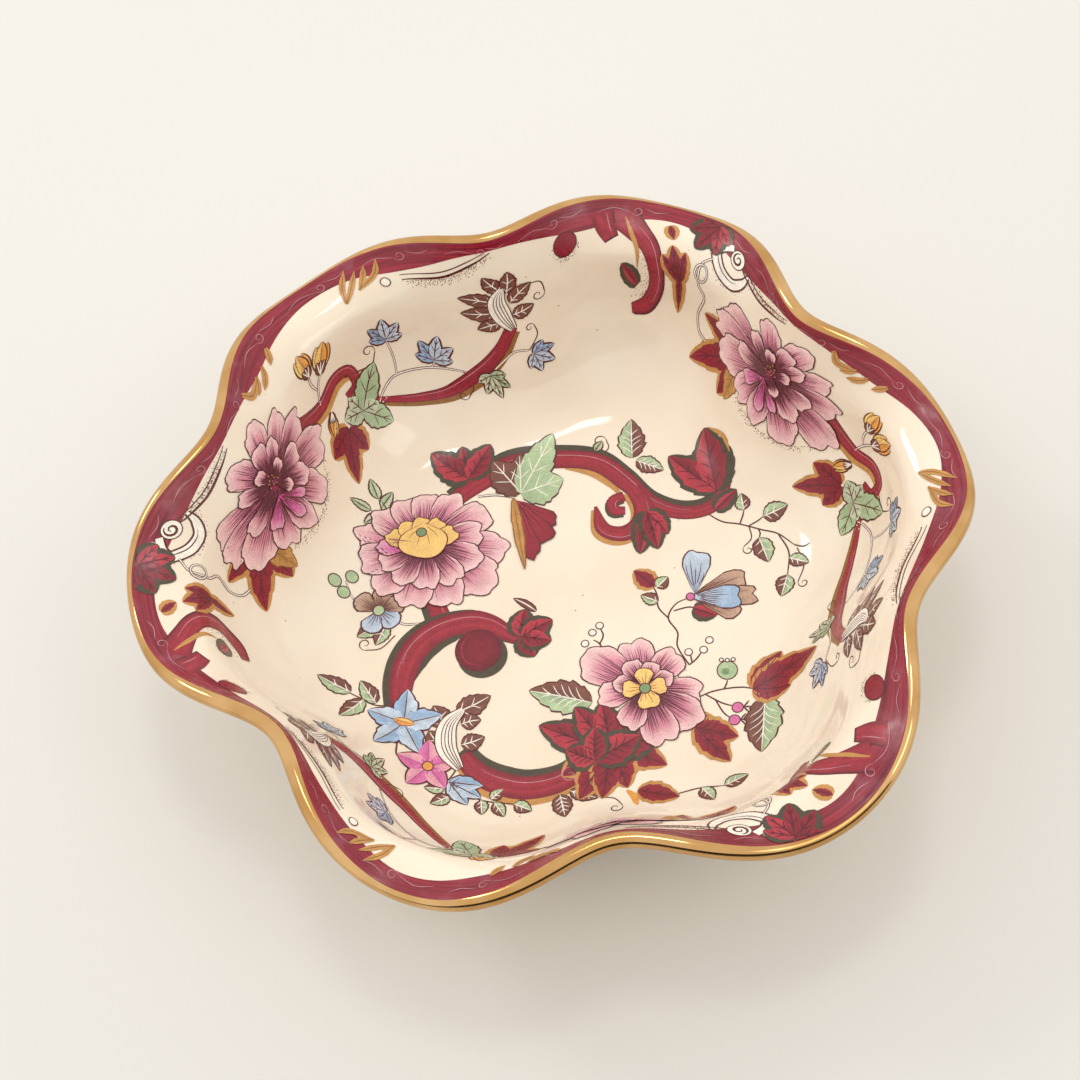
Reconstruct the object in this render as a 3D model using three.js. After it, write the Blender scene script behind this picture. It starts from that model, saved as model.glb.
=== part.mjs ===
// A six-lobed porcelain serving bowl: the cast body, its luted foot ring, the gilt
// edge and the printed layers that are fired onto the glaze.
// Millimetres, +Z up, origin under the middle of the bowl on the surface it stands on.
import * as THREE from "three";

// ---- driving dimensions -------------------------------------------------------------

const LOBES = 6; // lobes round the rim, the first one on +X
const FLOOR_TOP = 10; // height of the inside floor above the table
const WALL_THICKNESS = 4.6; // base, wall and lip
const FOOT_HEIGHT = 5.1; // foot ring, which the underside clears by 0.3
const FOOT_OUTER_RADIUS = 60;
const FOOT_INNER_RADIUS = 52.5;
const FOOT_CHAMFER = 1.2;

// Inside profile where the wall reaches furthest out, as [radius, height over the floor].
// The wall climbs steeply and then turns out into a broad, nearly flat lip.
const LOBE_PROFILE = [
  [0, 0], [26, 0], [52, 0], [67, 0.2], [76, 2.4], [83, 6.5], [89.5, 12], [95.5, 19.5],
  [100.3, 28.5], [103.1, 37.5], [105.8, 44], [110.6, 47.3], [116.4, 48.4], [122.7, 48.6],
];
// The same rows where the wall is drawn in between two lobes: a plain upright slope.
const NOTCH_PROFILE = [
  [0, 0], [24, 0], [48, 0], [60, 0.4], [67, 2.6], [73, 6.6], [78.4, 12], [83.2, 19],
  [87.2, 26.5], [90.7, 34], [94, 41], [97.2, 47], [100.4, 52.1], [103.2, 56.3],
];
// Lobes are fuller than a plain cosine, so that each notch is a narrow crease.
const LOBE_FULLNESS = 0.13;
// The rim was drawn out by hand while soft. Each term is [waves round the rim, share of
// the radius, crest direction in degrees], and it fades away towards the floor.
const HAND_DRAWN = [[2, 0.03, -45], [3, 0.012, 60], [4, 0.0135, -22.5]];

const ANGLE_STEPS = 72; // facets round the bowl
const ROWS = 19; // rows of facets from the middle of the floor to the rim
const LIP_STEPS = 4; // facets over the rounded edge

// The fired-on layers are thin skins that stand off the glaze by a hair.
const SKIN_GAP = 0.3;
const SKIN_THICKNESS = 0.4;
const GILT_START = 0.965; // where the gilding starts, as a share of the profile
const BORDER_ROWS = [16, 18]; // rows of facets under the wine-red border
const CENTRE_SPRAY_ROW = 7; // row of facets that the spray on the floor reaches
const WALL_SPRAY_ROWS = [8, 15];
const WALL_SPRAYS = 3;
const WALL_SPRAY_START = 80; // degrees, the near edge of the first wall spray
const WALL_SPRAY_SPAN = 100;

// ---- the shape of the inside --------------------------------------------------------

const toRadians = THREE.MathUtils.degToRad;
const profileCurve = (rows) =>
  new THREE.CatmullRomCurve3(rows.map(([r, z]) => new THREE.Vector3(r, 0, z)), false, "catmullrom");
const lobeCurve = profileCurve(LOBE_PROFILE);
const notchCurve = profileCurve(NOTCH_PROFILE);

// The inside surface at an angle in radians and a share of the profile from the middle
// of the floor (0) to the rim (1).
function insidePoint(angle, share) {
  const wave = Math.cos(LOBES * angle);
  const lobeness = (1 + wave) / 2;
  const reachMix = lobeness + (LOBE_FULLNESS * (1 - wave * wave));
  const lobe = lobeCurve.getPoint(share);
  const notch = notchCurve.getPoint(share);
  let drawn = 0;
  for (const [waves, amount, crest] of HAND_DRAWN)
    drawn += amount * Math.cos(waves * (angle - toRadians(crest)));
  const radius = THREE.MathUtils.lerp(notch.x, lobe.x, reachMix) * (1 + drawn * share ** 3);
  const height = THREE.MathUtils.lerp(notch.z, lobe.z, lobeness ** 2);
  return new THREE.Vector3(radius * Math.cos(angle), radius * Math.sin(angle), FLOOR_TOP + height);
}

// The inside surface's direction away from the food, found from two short steps.
function outward(angle, share) {
  if (share < 0.02) return new THREE.Vector3(0, 0, -1);
  const step = 1e-3;
  const up = share > 0.5 ? -step : step;
  const here = insidePoint(angle, share);
  const along = insidePoint(angle + step, share).sub(here);
  const climb = insidePoint(angle, share + up).sub(here).multiplyScalar(Math.sign(up));
  return along.cross(climb).normalize();
}

const offsetPoint = (angle, share, distance) =>
  insidePoint(angle, share).addScaledVector(outward(angle, share), distance);

// ---- closed meshes from rings and grids ---------------------------------------------

// Two triangles for the four-sided facet a, b, c, d, cut along its shorter diagonal.
// Layers that follow one another are then cut alike, and can't cross.
function facet(points, triangles, a, b, c, d) {
  const [p, q, r, s] = [a, b, c, d].map((index) => points[index]);
  if (p.distanceToSquared(r) <= q.distanceToSquared(s)) triangles.push(a, b, c, a, c, d);
  else triangles.push(b, c, d, b, d, a);
}

function closedMesh(points, triangles) {
  const geometry = new THREE.BufferGeometry();
  geometry.setAttribute(
    "position",
    new THREE.Float32BufferAttribute(points.flatMap((p) => p.toArray()), 3),
  );
  geometry.setIndex(triangles);
  geometry.computeVertexNormals();
  return geometry;
}

// A body swept round the axis: each row is a function of the angle. A row of null is a
// pole that takes the single point after it; an open profile otherwise closes on itself.
function sweptRings(rowFunctions, firstPole, lastPole) {
  const points = [];
  const triangles = [];
  const angles = Array.from({ length: ANGLE_STEPS }, (_, i) => (i / ANGLE_STEPS) * 2 * Math.PI);
  for (const row of rowFunctions) points.push(...angles.map(row));
  const at = (row, i) => row * ANGLE_STEPS + (i % ANGLE_STEPS);
  const rows = rowFunctions.length;
  const closes = firstPole === undefined;
  for (let row = 0; row < (closes ? rows : rows - 1); row++) {
    const next = (row + 1) % rows;
    for (let i = 0; i < ANGLE_STEPS; i++)
      facet(points, triangles, at(row, i), at(next, i), at(next, i + 1), at(row, i + 1));
  }
  if (!closes) {
    points.push(firstPole, lastPole);
    const first = points.length - 2;
    const last = points.length - 1;
    for (let i = 0; i < ANGLE_STEPS; i++) {
      triangles.push(first, at(0, i), at(0, i + 1));
      triangles.push(last, at(rows - 1, i + 1), at(rows - 1, i));
    }
  }
  return closedMesh(points, triangles);
}

// A thin skin over part of the inside, between two angles and two rows of facets.
function patchSkin(startAngle, spanAngle, [fromRow, toRow]) {
  const columns = Math.round((spanAngle / 360) * ANGLE_STEPS);
  const rowCount = toRow - fromRow;
  const points = [];
  for (const distance of [-SKIN_GAP - SKIN_THICKNESS, -SKIN_GAP])
    for (let row = 0; row <= rowCount; row++)
      for (let i = 0; i <= columns; i++)
        points.push(
          offsetPoint(
            toRadians(startAngle + (spanAngle * i) / columns),
            (fromRow + row) / ROWS,
            distance,
          ),
        );
  const wide = columns + 1;
  const layer = wide * (rowCount + 1);
  const at = (side, row, i) => side * layer + row * wide + i;
  const triangles = [];
  const quad = (a, b, c, d) => facet(points, triangles, a, b, c, d);
  for (let row = 0; row < rowCount; row++)
    for (let i = 0; i < columns; i++) {
      quad(at(0, row, i), at(0, row + 1, i), at(0, row + 1, i + 1), at(0, row, i + 1));
      quad(at(1, row, i), at(1, row, i + 1), at(1, row + 1, i + 1), at(1, row + 1, i));
    }
  for (let i = 0; i < columns; i++) {
    quad(at(0, 0, i), at(0, 0, i + 1), at(1, 0, i + 1), at(1, 0, i));
    quad(at(0, rowCount, i), at(1, rowCount, i), at(1, rowCount, i + 1), at(0, rowCount, i + 1));
  }
  for (let row = 0; row < rowCount; row++) {
    quad(at(0, row, 0), at(1, row, 0), at(1, row + 1, 0), at(0, row + 1, 0));
    const end = columns;
    quad(at(0, row, end), at(0, row + 1, end), at(1, row + 1, end), at(1, row, end));
  }
  return closedMesh(points, triangles);
}

// ---- the pieces ---------------------------------------------------------------------

// The rounded edge: a half turn from the inside to the outside, raised by a stand-off.
function lipRows(standOff) {
  const rows = [];
  for (let i = 0; i <= LIP_STEPS; i++) {
    const turn = (Math.PI * i) / LIP_STEPS;
    rows.push((angle) => {
      const edge = insidePoint(angle, 1);
      const away = outward(angle, 1);
      const climb = edge.clone().sub(insidePoint(angle, 0.99)).normalize();
      const half = WALL_THICKNESS / 2;
      return edge
        .addScaledVector(away, half)
        .addScaledVector(away, -(half + standOff) * Math.cos(turn))
        .addScaledVector(climb, (half + standOff) * Math.sin(turn));
    });
  }
  return rows;
}

// Rows of facets on the inside, moved outwards by a distance.
const wallRow = (share, distance) => (angle) => offsetPoint(angle, share, distance);
const wallRows = (fromRow, toRow, distance) =>
  Array.from({ length: toRow - fromRow + 1 }, (_, i) => wallRow((fromRow + i) / ROWS, distance));

function bowlBody() {
  const inside = wallRows(1, ROWS - 1, 0);
  // The underside is flat inside the foot ring, and then follows the wall.
  const underside = FLOOR_TOP - WALL_THICKNESS;
  const outside = Array.from({ length: ROWS - 1 }, (_, i) => {
    const share = 1 - (i + 1) / ROWS;
    return (angle) => {
      const point = offsetPoint(angle, share, WALL_THICKNESS);
      point.z = Math.max(point.z, underside);
      return point;
    };
  });
  return sweptRings(
    [...inside, ...lipRows(0), ...outside],
    new THREE.Vector3(0, 0, FLOOR_TOP),
    new THREE.Vector3(0, 0, underside),
  );
}

function footRing() {
  const profile = [
    [FOOT_INNER_RADIUS, FOOT_CHAMFER], [FOOT_INNER_RADIUS + FOOT_CHAMFER, 0],
    [FOOT_OUTER_RADIUS - FOOT_CHAMFER, 0], [FOOT_OUTER_RADIUS, FOOT_CHAMFER],
    [FOOT_OUTER_RADIUS, FOOT_HEIGHT], [FOOT_INNER_RADIUS, FOOT_HEIGHT],
    [FOOT_INNER_RADIUS, FOOT_CHAMFER],
  ].map(([r, z]) => new THREE.Vector2(r, z));
  return new THREE.LatheGeometry(profile, ANGLE_STEPS).rotateX(Math.PI / 2);
}

// The gilding wraps the whole edge, from just inside the border to just under the lip.
function giltRim() {
  const outer = SKIN_GAP + SKIN_THICKNESS;
  const inside = (standOff) => wallRow(GILT_START, -standOff);
  const under = (standOff) => wallRow(GILT_START, WALL_THICKNESS + standOff);
  return sweptRings([
    inside(outer), ...lipRows(outer), under(outer),
    under(SKIN_GAP), ...lipRows(SKIN_GAP).reverse(), inside(SKIN_GAP),
  ]);
}

function enamelBorder() {
  const [from, to] = BORDER_ROWS;
  return sweptRings([
    ...wallRows(from, to, -SKIN_GAP - SKIN_THICKNESS),
    ...wallRows(from, to, -SKIN_GAP).reverse(),
  ]);
}

function centreSpray() {
  const top = SKIN_GAP + SKIN_THICKNESS;
  return sweptRings(
    [
      ...wallRows(1, CENTRE_SPRAY_ROW, -top),
      ...wallRows(1, CENTRE_SPRAY_ROW, -SKIN_GAP).reverse(),
    ],
    new THREE.Vector3(0, 0, FLOOR_TOP + top),
    new THREE.Vector3(0, 0, FLOOR_TOP + SKIN_GAP),
  );
}

// ---- materials and assembly ---------------------------------------------------------

const glazedCream = new THREE.MeshStandardMaterial({ color: 0xf3e6cf, roughness: 0.12 });
const bareFoot = new THREE.MeshStandardMaterial({ color: 0xe4d6bd, roughness: 0.7 });
const brightGold = new THREE.MeshStandardMaterial({ color: 0xc9964a, roughness: 0.18, metalness: 1 });
const wineRed = new THREE.MeshStandardMaterial({ color: 0x7c1526, roughness: 0.15 });
const printedInk = new THREE.MeshStandardMaterial({ color: 0xc4688f, roughness: 0.15 });

const bowl = new THREE.Group();

function addPiece(name, geometry, material) {
  const mesh = new THREE.Mesh(geometry, material);
  mesh.name = name;
  bowl.add(mesh);
}

addPiece("bowl_body", bowlBody(), glazedCream);
addPiece("foot_ring", footRing(), bareFoot);
addPiece("gilt_rim", giltRim(), brightGold);
addPiece("enamel_border", enamelBorder(), wineRed);
addPiece("centre_spray", centreSpray(), printedInk);
for (let i = 0; i < WALL_SPRAYS; i++) {
  const start = WALL_SPRAY_START + (360 / WALL_SPRAYS) * i;
  addPiece(`wall_spray_${i + 1}`, patchSkin(start, WALL_SPRAY_SPAN, WALL_SPRAY_ROWS), printedInk);
}

export default bowl;
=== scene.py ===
"""A six-lobed porcelain serving bowl: cream glaze, gilded edge, wine-red border and printed sprays.

The clay, the gilding and the border ground follow one rule, so Geometry Nodes make them.
The printed sprays are drawn stroke by stroke in flat millimetres and then laid on the glaze.
Lengths are millimetres while a piece is drawn, and metres in its mesh.
"""

import logging
import math
from dataclasses import dataclass, field
from enum import Enum
from typing import Any, Callable, Protocol, Sequence

import bpy
import numpy as np
from mathutils import Matrix, Vector

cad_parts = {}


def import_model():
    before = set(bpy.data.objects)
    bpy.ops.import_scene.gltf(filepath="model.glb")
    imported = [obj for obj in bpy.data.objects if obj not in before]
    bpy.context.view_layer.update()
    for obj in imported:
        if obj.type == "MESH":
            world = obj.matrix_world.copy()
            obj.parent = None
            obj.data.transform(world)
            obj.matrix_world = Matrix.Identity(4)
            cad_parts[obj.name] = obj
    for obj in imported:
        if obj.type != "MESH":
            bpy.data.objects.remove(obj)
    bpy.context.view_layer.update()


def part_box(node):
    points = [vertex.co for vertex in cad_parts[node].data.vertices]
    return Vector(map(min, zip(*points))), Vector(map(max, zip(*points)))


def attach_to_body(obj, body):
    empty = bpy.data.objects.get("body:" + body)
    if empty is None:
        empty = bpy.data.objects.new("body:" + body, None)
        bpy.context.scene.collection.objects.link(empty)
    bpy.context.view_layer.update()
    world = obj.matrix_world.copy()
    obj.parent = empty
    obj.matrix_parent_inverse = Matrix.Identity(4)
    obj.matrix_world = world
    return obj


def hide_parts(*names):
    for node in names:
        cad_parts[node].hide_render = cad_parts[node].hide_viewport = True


LOG = logging.getLogger("serving_bowl")
MM = 0.001
Point = tuple[float, float]
Shade = Callable[[np.ndarray, np.ndarray], np.ndarray]


# ---- colours and nodes ---------------------------------------------------------------


def linear(hex_colour: str) -> np.ndarray:
    """Turns an sRGB colour such as "#F6EBD9" into linear red, green and blue."""
    srgb = np.array([int(hex_colour[i : i + 2], 16) / 255 for i in (1, 3, 5)])
    return np.where(srgb <= 0.04045, srgb / 12.92, ((srgb + 0.055) / 1.055) ** 2.4)


def rgba(hex_colour: str) -> tuple[float, float, float, float]:
    """The colour as a shader socket takes it."""
    return (*linear(hex_colour).tolist(), 1.0)


def blend(first: np.ndarray, second: np.ndarray, share: np.ndarray) -> np.ndarray:
    """Mixes two colours by an array of shares, one colour for each share."""
    amount = np.clip(share, 0.0, 1.0)[..., None]
    return first * (1 - amount) + second * amount


def add_node(
    tree: bpy.types.NodeTree,
    kind: str,
    settings: dict[str, Any] | None = None,
    inputs: dict[int | str, Any] | None = None,
) -> bpy.types.Node:
    """Adds a node, sets its properties, and sets or links its inputs."""
    node = tree.nodes.new(kind)
    for name, value in (settings or {}).items():
        setattr(node, name, value)
    for key, value in (inputs or {}).items():
        if isinstance(key, int):
            socket = node.inputs[key]
        else:
            socket = next(s for s in node.inputs if s.name == key and s.enabled)
        if isinstance(value, bpy.types.NodeSocket):
            tree.links.new(value, socket)
        else:
            socket.default_value = value
    return node


class Scalar:
    """A number or field in a node tree, with the usual arithmetic."""

    def __init__(self, tree: bpy.types.NodeTree, socket: bpy.types.NodeSocket) -> None:
        """Wraps an output socket of a tree."""
        self.tree = tree
        self.socket = socket

    def apply(self, operation: str, *others: "Scalar | float") -> "Scalar":
        """Adds one Math node."""
        values = [o.socket if isinstance(o, Scalar) else float(o) for o in others]
        inputs = dict(enumerate([self.socket, *values]))
        node = add_node(self.tree, "ShaderNodeMath", {"operation": operation}, inputs)
        return Scalar(self.tree, node.outputs[0])

    def __add__(self, other: "Scalar | float") -> "Scalar":
        """The sum."""
        return self.apply("ADD", other)

    def __sub__(self, other: "Scalar | float") -> "Scalar":
        """The difference."""
        return self.apply("SUBTRACT", other)

    def __mul__(self, other: "Scalar | float") -> "Scalar":
        """The product."""
        return self.apply("MULTIPLY", other)

    def __truediv__(self, other: "Scalar | float") -> "Scalar":
        """The quotient."""
        return self.apply("DIVIDE", other)

    def clamp(self, low: float, high: float) -> "Scalar":
        """The value held between two limits."""
        return self.apply("MAXIMUM", low).apply("MINIMUM", high)

    def mix(self, first: "Scalar", second: "Scalar") -> "Scalar":
        """The value between first and second at this share."""
        return first + (second - first) * self


# ---- the shape of the bowl -----------------------------------------------------------


@dataclass(frozen=True)
class BowlShape:
    """The inside of the bowl, and the wall behind it, in millimetres.

    Two profiles give the wall where a lobe reaches furthest and where it is drawn in
    between two lobes. Each row is [radius, height over the floor].
    """

    lobes: int = 6
    floor_top: float = 10.0
    wall: float = 4.6
    fullness: float = 0.13
    lobe_profile: tuple[Point, ...] = (
        (0, 0), (26, 0), (52, 0), (67, 0.2), (76, 2.4), (83, 6.5), (89.5, 12), (95.5, 19.5),
        (100.3, 28.5), (103.1, 37.5), (105.8, 44), (110.6, 47.3), (116.4, 48.4), (122.7, 48.6),
    )
    notch_profile: tuple[Point, ...] = (
        (0, 0), (24, 0), (48, 0), (60, 0.4), (67, 2.6), (73, 6.6), (78.4, 12), (83.2, 19),
        (87.2, 26.5), (90.7, 34), (94, 41), (97.2, 47), (100.4, 52.1), (103.2, 56.3),
    )
    # Waves round the rim, share of the radius, and crest in degrees.
    hand_drawn: tuple[tuple[int, float, float], ...] = (
        (2, 0.03, -45), (3, 0.012, 60), (4, 0.0135, -22.5),
    )

    @staticmethod
    def profile(rows: Sequence[Point], share: np.ndarray) -> np.ndarray:
        """Reads a profile as a smooth curve."""
        knots = np.array(rows, float)
        knots = np.vstack([2 * knots[0] - knots[1], knots, 2 * knots[-1] - knots[-2]])
        spans = len(rows) - 1
        along = np.clip(share, 0, 1) * spans
        start = np.minimum(along.astype(int), spans - 1)
        t = (along - start)[..., None]
        a, b, c, d = (knots[start + i] for i in range(4))
        slope = (c - a) * t
        bend = (2 * a - 5 * b + 4 * c - d) * t**2
        twist = (3 * b - a - 3 * c + d) * t**3
        return 0.5 * (2 * b + slope + bend + twist)

    def radius_and_height(self, angle: np.ndarray, share: np.ndarray) -> tuple[np.ndarray, np.ndarray]:
        """The inside's radius and height above the table."""
        wave = np.cos(self.lobes * angle)
        lobeness = (1 + wave) / 2
        reach = lobeness + self.fullness * (1 - wave**2)
        lobe = self.profile(self.lobe_profile, share)
        notch = self.profile(self.notch_profile, share)
        drawn = sum(a * np.cos(n * (angle - math.radians(c))) for n, a, c in self.hand_drawn)
        radius = notch[..., 0] + (lobe[..., 0] - notch[..., 0]) * reach
        height = notch[..., 1] + (lobe[..., 1] - notch[..., 1]) * lobeness**2
        return radius * (1 + drawn * share**3), self.floor_top + height

    def point(self, angle: np.ndarray, share: np.ndarray) -> np.ndarray:
        """Points of the inside surface."""
        radius, height = self.radius_and_height(angle, share)
        return np.stack([radius * np.cos(angle), radius * np.sin(angle), height], -1)

    def facing(self, angle: np.ndarray, share: np.ndarray) -> np.ndarray:
        """The surface's direction towards the food, as unit vectors."""
        step = 1e-4
        here = self.point(angle, share)
        along = self.point(angle + step, share) - here
        climb = here - self.point(angle, share - step)
        normal = np.cross(climb, along)
        normal[share < 0.02] = (0, 0, 1)
        return normal / np.linalg.norm(normal, axis=-1, keepdims=True)

    def share_at(self, angle: np.ndarray, radius: np.ndarray) -> np.ndarray:
        """The place along the profile where the inside has a given radius, by halving."""
        low = np.zeros_like(radius)
        high = np.ones_like(radius)
        for _ in range(24):
            middle = (low + high) / 2
            inside = self.radius_and_height(angle, middle)[0] < radius
            low = np.where(inside, middle, low)
            high = np.where(inside, high, middle)
        return (low + high) / 2

    def lay(self, angle: np.ndarray, share: np.ndarray, lift: np.ndarray) -> np.ndarray:
        """Points that stand off the glaze by a lift."""
        return self.point(angle, share) + self.facing(angle, share) * lift[..., None]


# ---- charts: from a flat drawing to the glaze ----------------------------------------


class Chart(Protocol):
    """A way to lay a flat drawing on the bowl."""

    def place(self, drawn: np.ndarray, lift: np.ndarray) -> np.ndarray:
        """Takes drawn millimetres to points on the bowl."""


@dataclass(frozen=True)
class FloorChart:
    """A drawing seen from straight above and dropped on the bowl, turned about its axis."""

    shape: BowlShape
    turn: float

    def place(self, drawn: np.ndarray, lift: np.ndarray) -> np.ndarray:
        """Takes drawn millimetres to points on the bowl."""
        angle = np.arctan2(drawn[:, 1], drawn[:, 0]) + math.radians(self.turn)
        radius = np.hypot(drawn[:, 0], drawn[:, 1])
        return self.shape.lay(angle, self.shape.share_at(angle, radius), lift)


@dataclass(frozen=True)
class WallChart:
    """A drawing unrolled from the wall: right is clockwise from above, up is to the rim."""

    shape: BowlShape
    heading: float  # degrees, where the drawing's middle is
    reach: float  # millimetres for a radian round the wall
    climb: float  # millimetres from the middle of the floor to the rim

    def place(self, drawn: np.ndarray, lift: np.ndarray) -> np.ndarray:
        """Takes drawn millimetres to points on the bowl."""
        angle = math.radians(self.heading) - drawn[:, 0] / self.reach
        return self.shape.lay(angle, np.clip(drawn[:, 1] / self.climb, 0.03, 1), lift)


# ---- drawing -------------------------------------------------------------------------


class Ink(Enum):
    """The printing and painting colours, as they look when fired."""

    LINE = "#5C211B"
    PLUM = "#7E2F43"
    WINE = "#8F1C2D"
    WINE_LIGHT = "#B5303F"
    WINE_DARK = "#5E1220"
    OLIVE = "#4C4230"
    GOLD = "#C78F4C"
    GOLD_DARK = "#96652F"
    PINK = "#DC72A6"
    PINK_PALE = "#F0A9B6"
    BLUSH = "#F3B7BB"
    MAGENTA = "#CE4D9B"
    ROSE = "#BE3F7B"
    ROSE_DEEP = "#98234F"
    MAROON = "#5F2030"
    YELLOW = "#F6CB78"
    ORANGE = "#E9A04A"
    RUST = "#B4682C"
    GREEN = "#B2C79B"
    GREEN_DEEP = "#7F9A6C"
    SAGE = "#CBD3B2"
    BROWN = "#7E4C3E"
    BLUE = "#9DB9D8"
    BLUE_PALE = "#C9D7E6"
    BLUE_DEEP = "#6D80A2"
    SCRATCH = "#C9919A"
    WHITE = "#FBF2E4"
    SAND = "#C9A58C"

    @property
    def colour(self) -> np.ndarray:
        """The colour in linear red, green and blue."""
        return linear(self.value)


def smooth(points: Sequence[Point], spacing: float = 1.2, least: int = 2) -> np.ndarray:
    """Lays evenly spaced points on a smooth curve through the given ones."""
    given = np.array(points, float)
    if len(given) > 2:
        knots = np.vstack([2 * given[0] - given[1], given, 2 * given[-1] - given[-2]])
        t = np.linspace(0, 1, 13)[:-1, None]
        pieces = []
        for a, b, c, d in zip(knots, knots[1:], knots[2:], knots[3:]):
            curve = 2 * b + (c - a) * t + (2 * a - 5 * b + 4 * c - d) * t**2
            pieces.append(0.5 * (curve + (3 * b - a - 3 * c + d) * t**3))
        given = np.vstack([*pieces, given[-1]])
    length = np.concatenate([[0], np.cumsum(np.linalg.norm(np.diff(given, axis=0), axis=1))])
    count = max(least, int(length[-1] / spacing) + 2)
    even = np.linspace(0, length[-1], count)
    return np.stack([np.interp(even, length, given[:, i]) for i in range(2)], -1)


def left_of(line: np.ndarray) -> np.ndarray:
    """Unit vectors to the left of a line, one at each of its points."""
    ahead = np.gradient(line, axis=0)
    ahead /= np.maximum(np.linalg.norm(ahead, axis=1, keepdims=True), 1e-9)
    return np.stack([-ahead[:, 1], ahead[:, 0]], -1)


def heading_vector(degrees: float) -> np.ndarray:
    """A unit vector, anticlockwise from the right."""
    return np.array([math.cos(math.radians(degrees)), math.sin(math.radians(degrees))])


@dataclass(frozen=True)
class LeafFinish:
    """How a leaf is coloured: its two halves, its edge and its veins."""

    left: Ink
    right: Ink
    edge: Ink
    vein: Ink
    edge_width: float = 0.4
    vein_width: float = 0.4
    teeth: int = 5


class Leaf(Enum):
    """The kinds of leaf in the sprays."""

    GREEN = LeafFinish(Ink.GREEN, Ink.SAGE, Ink.LINE, Ink.LINE)
    HALF_SHADED = LeafFinish(Ink.GREEN, Ink.BROWN, Ink.LINE, Ink.WHITE)
    SHADED = LeafFinish(Ink.BROWN, Ink.BROWN, Ink.LINE, Ink.WHITE)
    WINE = LeafFinish(Ink.WINE_LIGHT, Ink.WINE, Ink.OLIVE, Ink.WINE_DARK, 1.5, 0.5, 4)
    WINE_GILT = LeafFinish(Ink.WINE, Ink.WINE, Ink.GOLD, Ink.WINE_DARK, 1.2, 0.4, 4)
    GILT = LeafFinish(Ink.GOLD, Ink.GOLD, Ink.GOLD_DARK, Ink.GOLD_DARK, 0.3, 0.3, 3)
    BLUE = LeafFinish(Ink.BLUE, Ink.BLUE_PALE, Ink.LINE, Ink.LINE, 0.45, 0.35, 3)
    ROSE = LeafFinish(Ink.PINK, Ink.PINK_PALE, Ink.LINE, Ink.MAGENTA, 0.4, 0.5, 1)
    BUD = LeafFinish(Ink.YELLOW, Ink.ORANGE, Ink.LINE, Ink.RUST, 0.35, 0.35, 1)
    CORE = LeafFinish(Ink.YELLOW, Ink.ORANGE, Ink.RUST, Ink.RUST, 0.3, 0.3, 1)


@dataclass(frozen=True)
class PetalFinish:
    """How a petal is coloured from its base out, and the lines drawn up it."""

    base: Ink
    tip: Ink
    line: Ink = Ink.PLUM
    fade: float = 0.75
    lines: int = 13
    edge_width: float = 0.38
    pale_edge: float = 0.0


class Petal(Enum):
    """The kinds of petal in the sprays."""

    PINK = PetalFinish(Ink.ROSE_DEEP, Ink.PINK_PALE, Ink.MAROON, 1.7, 23, pale_edge=1.6)
    BLUSH = PetalFinish(Ink.ROSE, Ink.BLUSH, Ink.MAROON, 1.5, 19, pale_edge=1.5)
    MAGENTA = PetalFinish(Ink.MAGENTA, Ink.PINK, Ink.PLUM, 0.9, 7, pale_edge=1.2)
    CUP = PetalFinish(Ink.RUST, Ink.YELLOW, Ink.RUST, 0.8, 7, 0.32)
    CUP_FRONT = PetalFinish(Ink.YELLOW, Ink.YELLOW, Ink.RUST, 1.0, 4, 0.32)
    BLUE = PetalFinish(Ink.BLUE_DEEP, Ink.BLUE_PALE, Ink.LINE, 0.6, 5, 0.45)
    STIPPLED = PetalFinish(Ink.BROWN, Ink.SAND, Ink.LINE, 1.2, 8, 0.45)
    TULIP = PetalFinish(Ink.BLUE_PALE, Ink.BLUE, Ink.LINE, 1.0, 9, 0.45)
    WINE = PetalFinish(Ink.WINE_LIGHT, Ink.WINE, Ink.WINE_DARK, 0.8, 4, 0.5)


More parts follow.
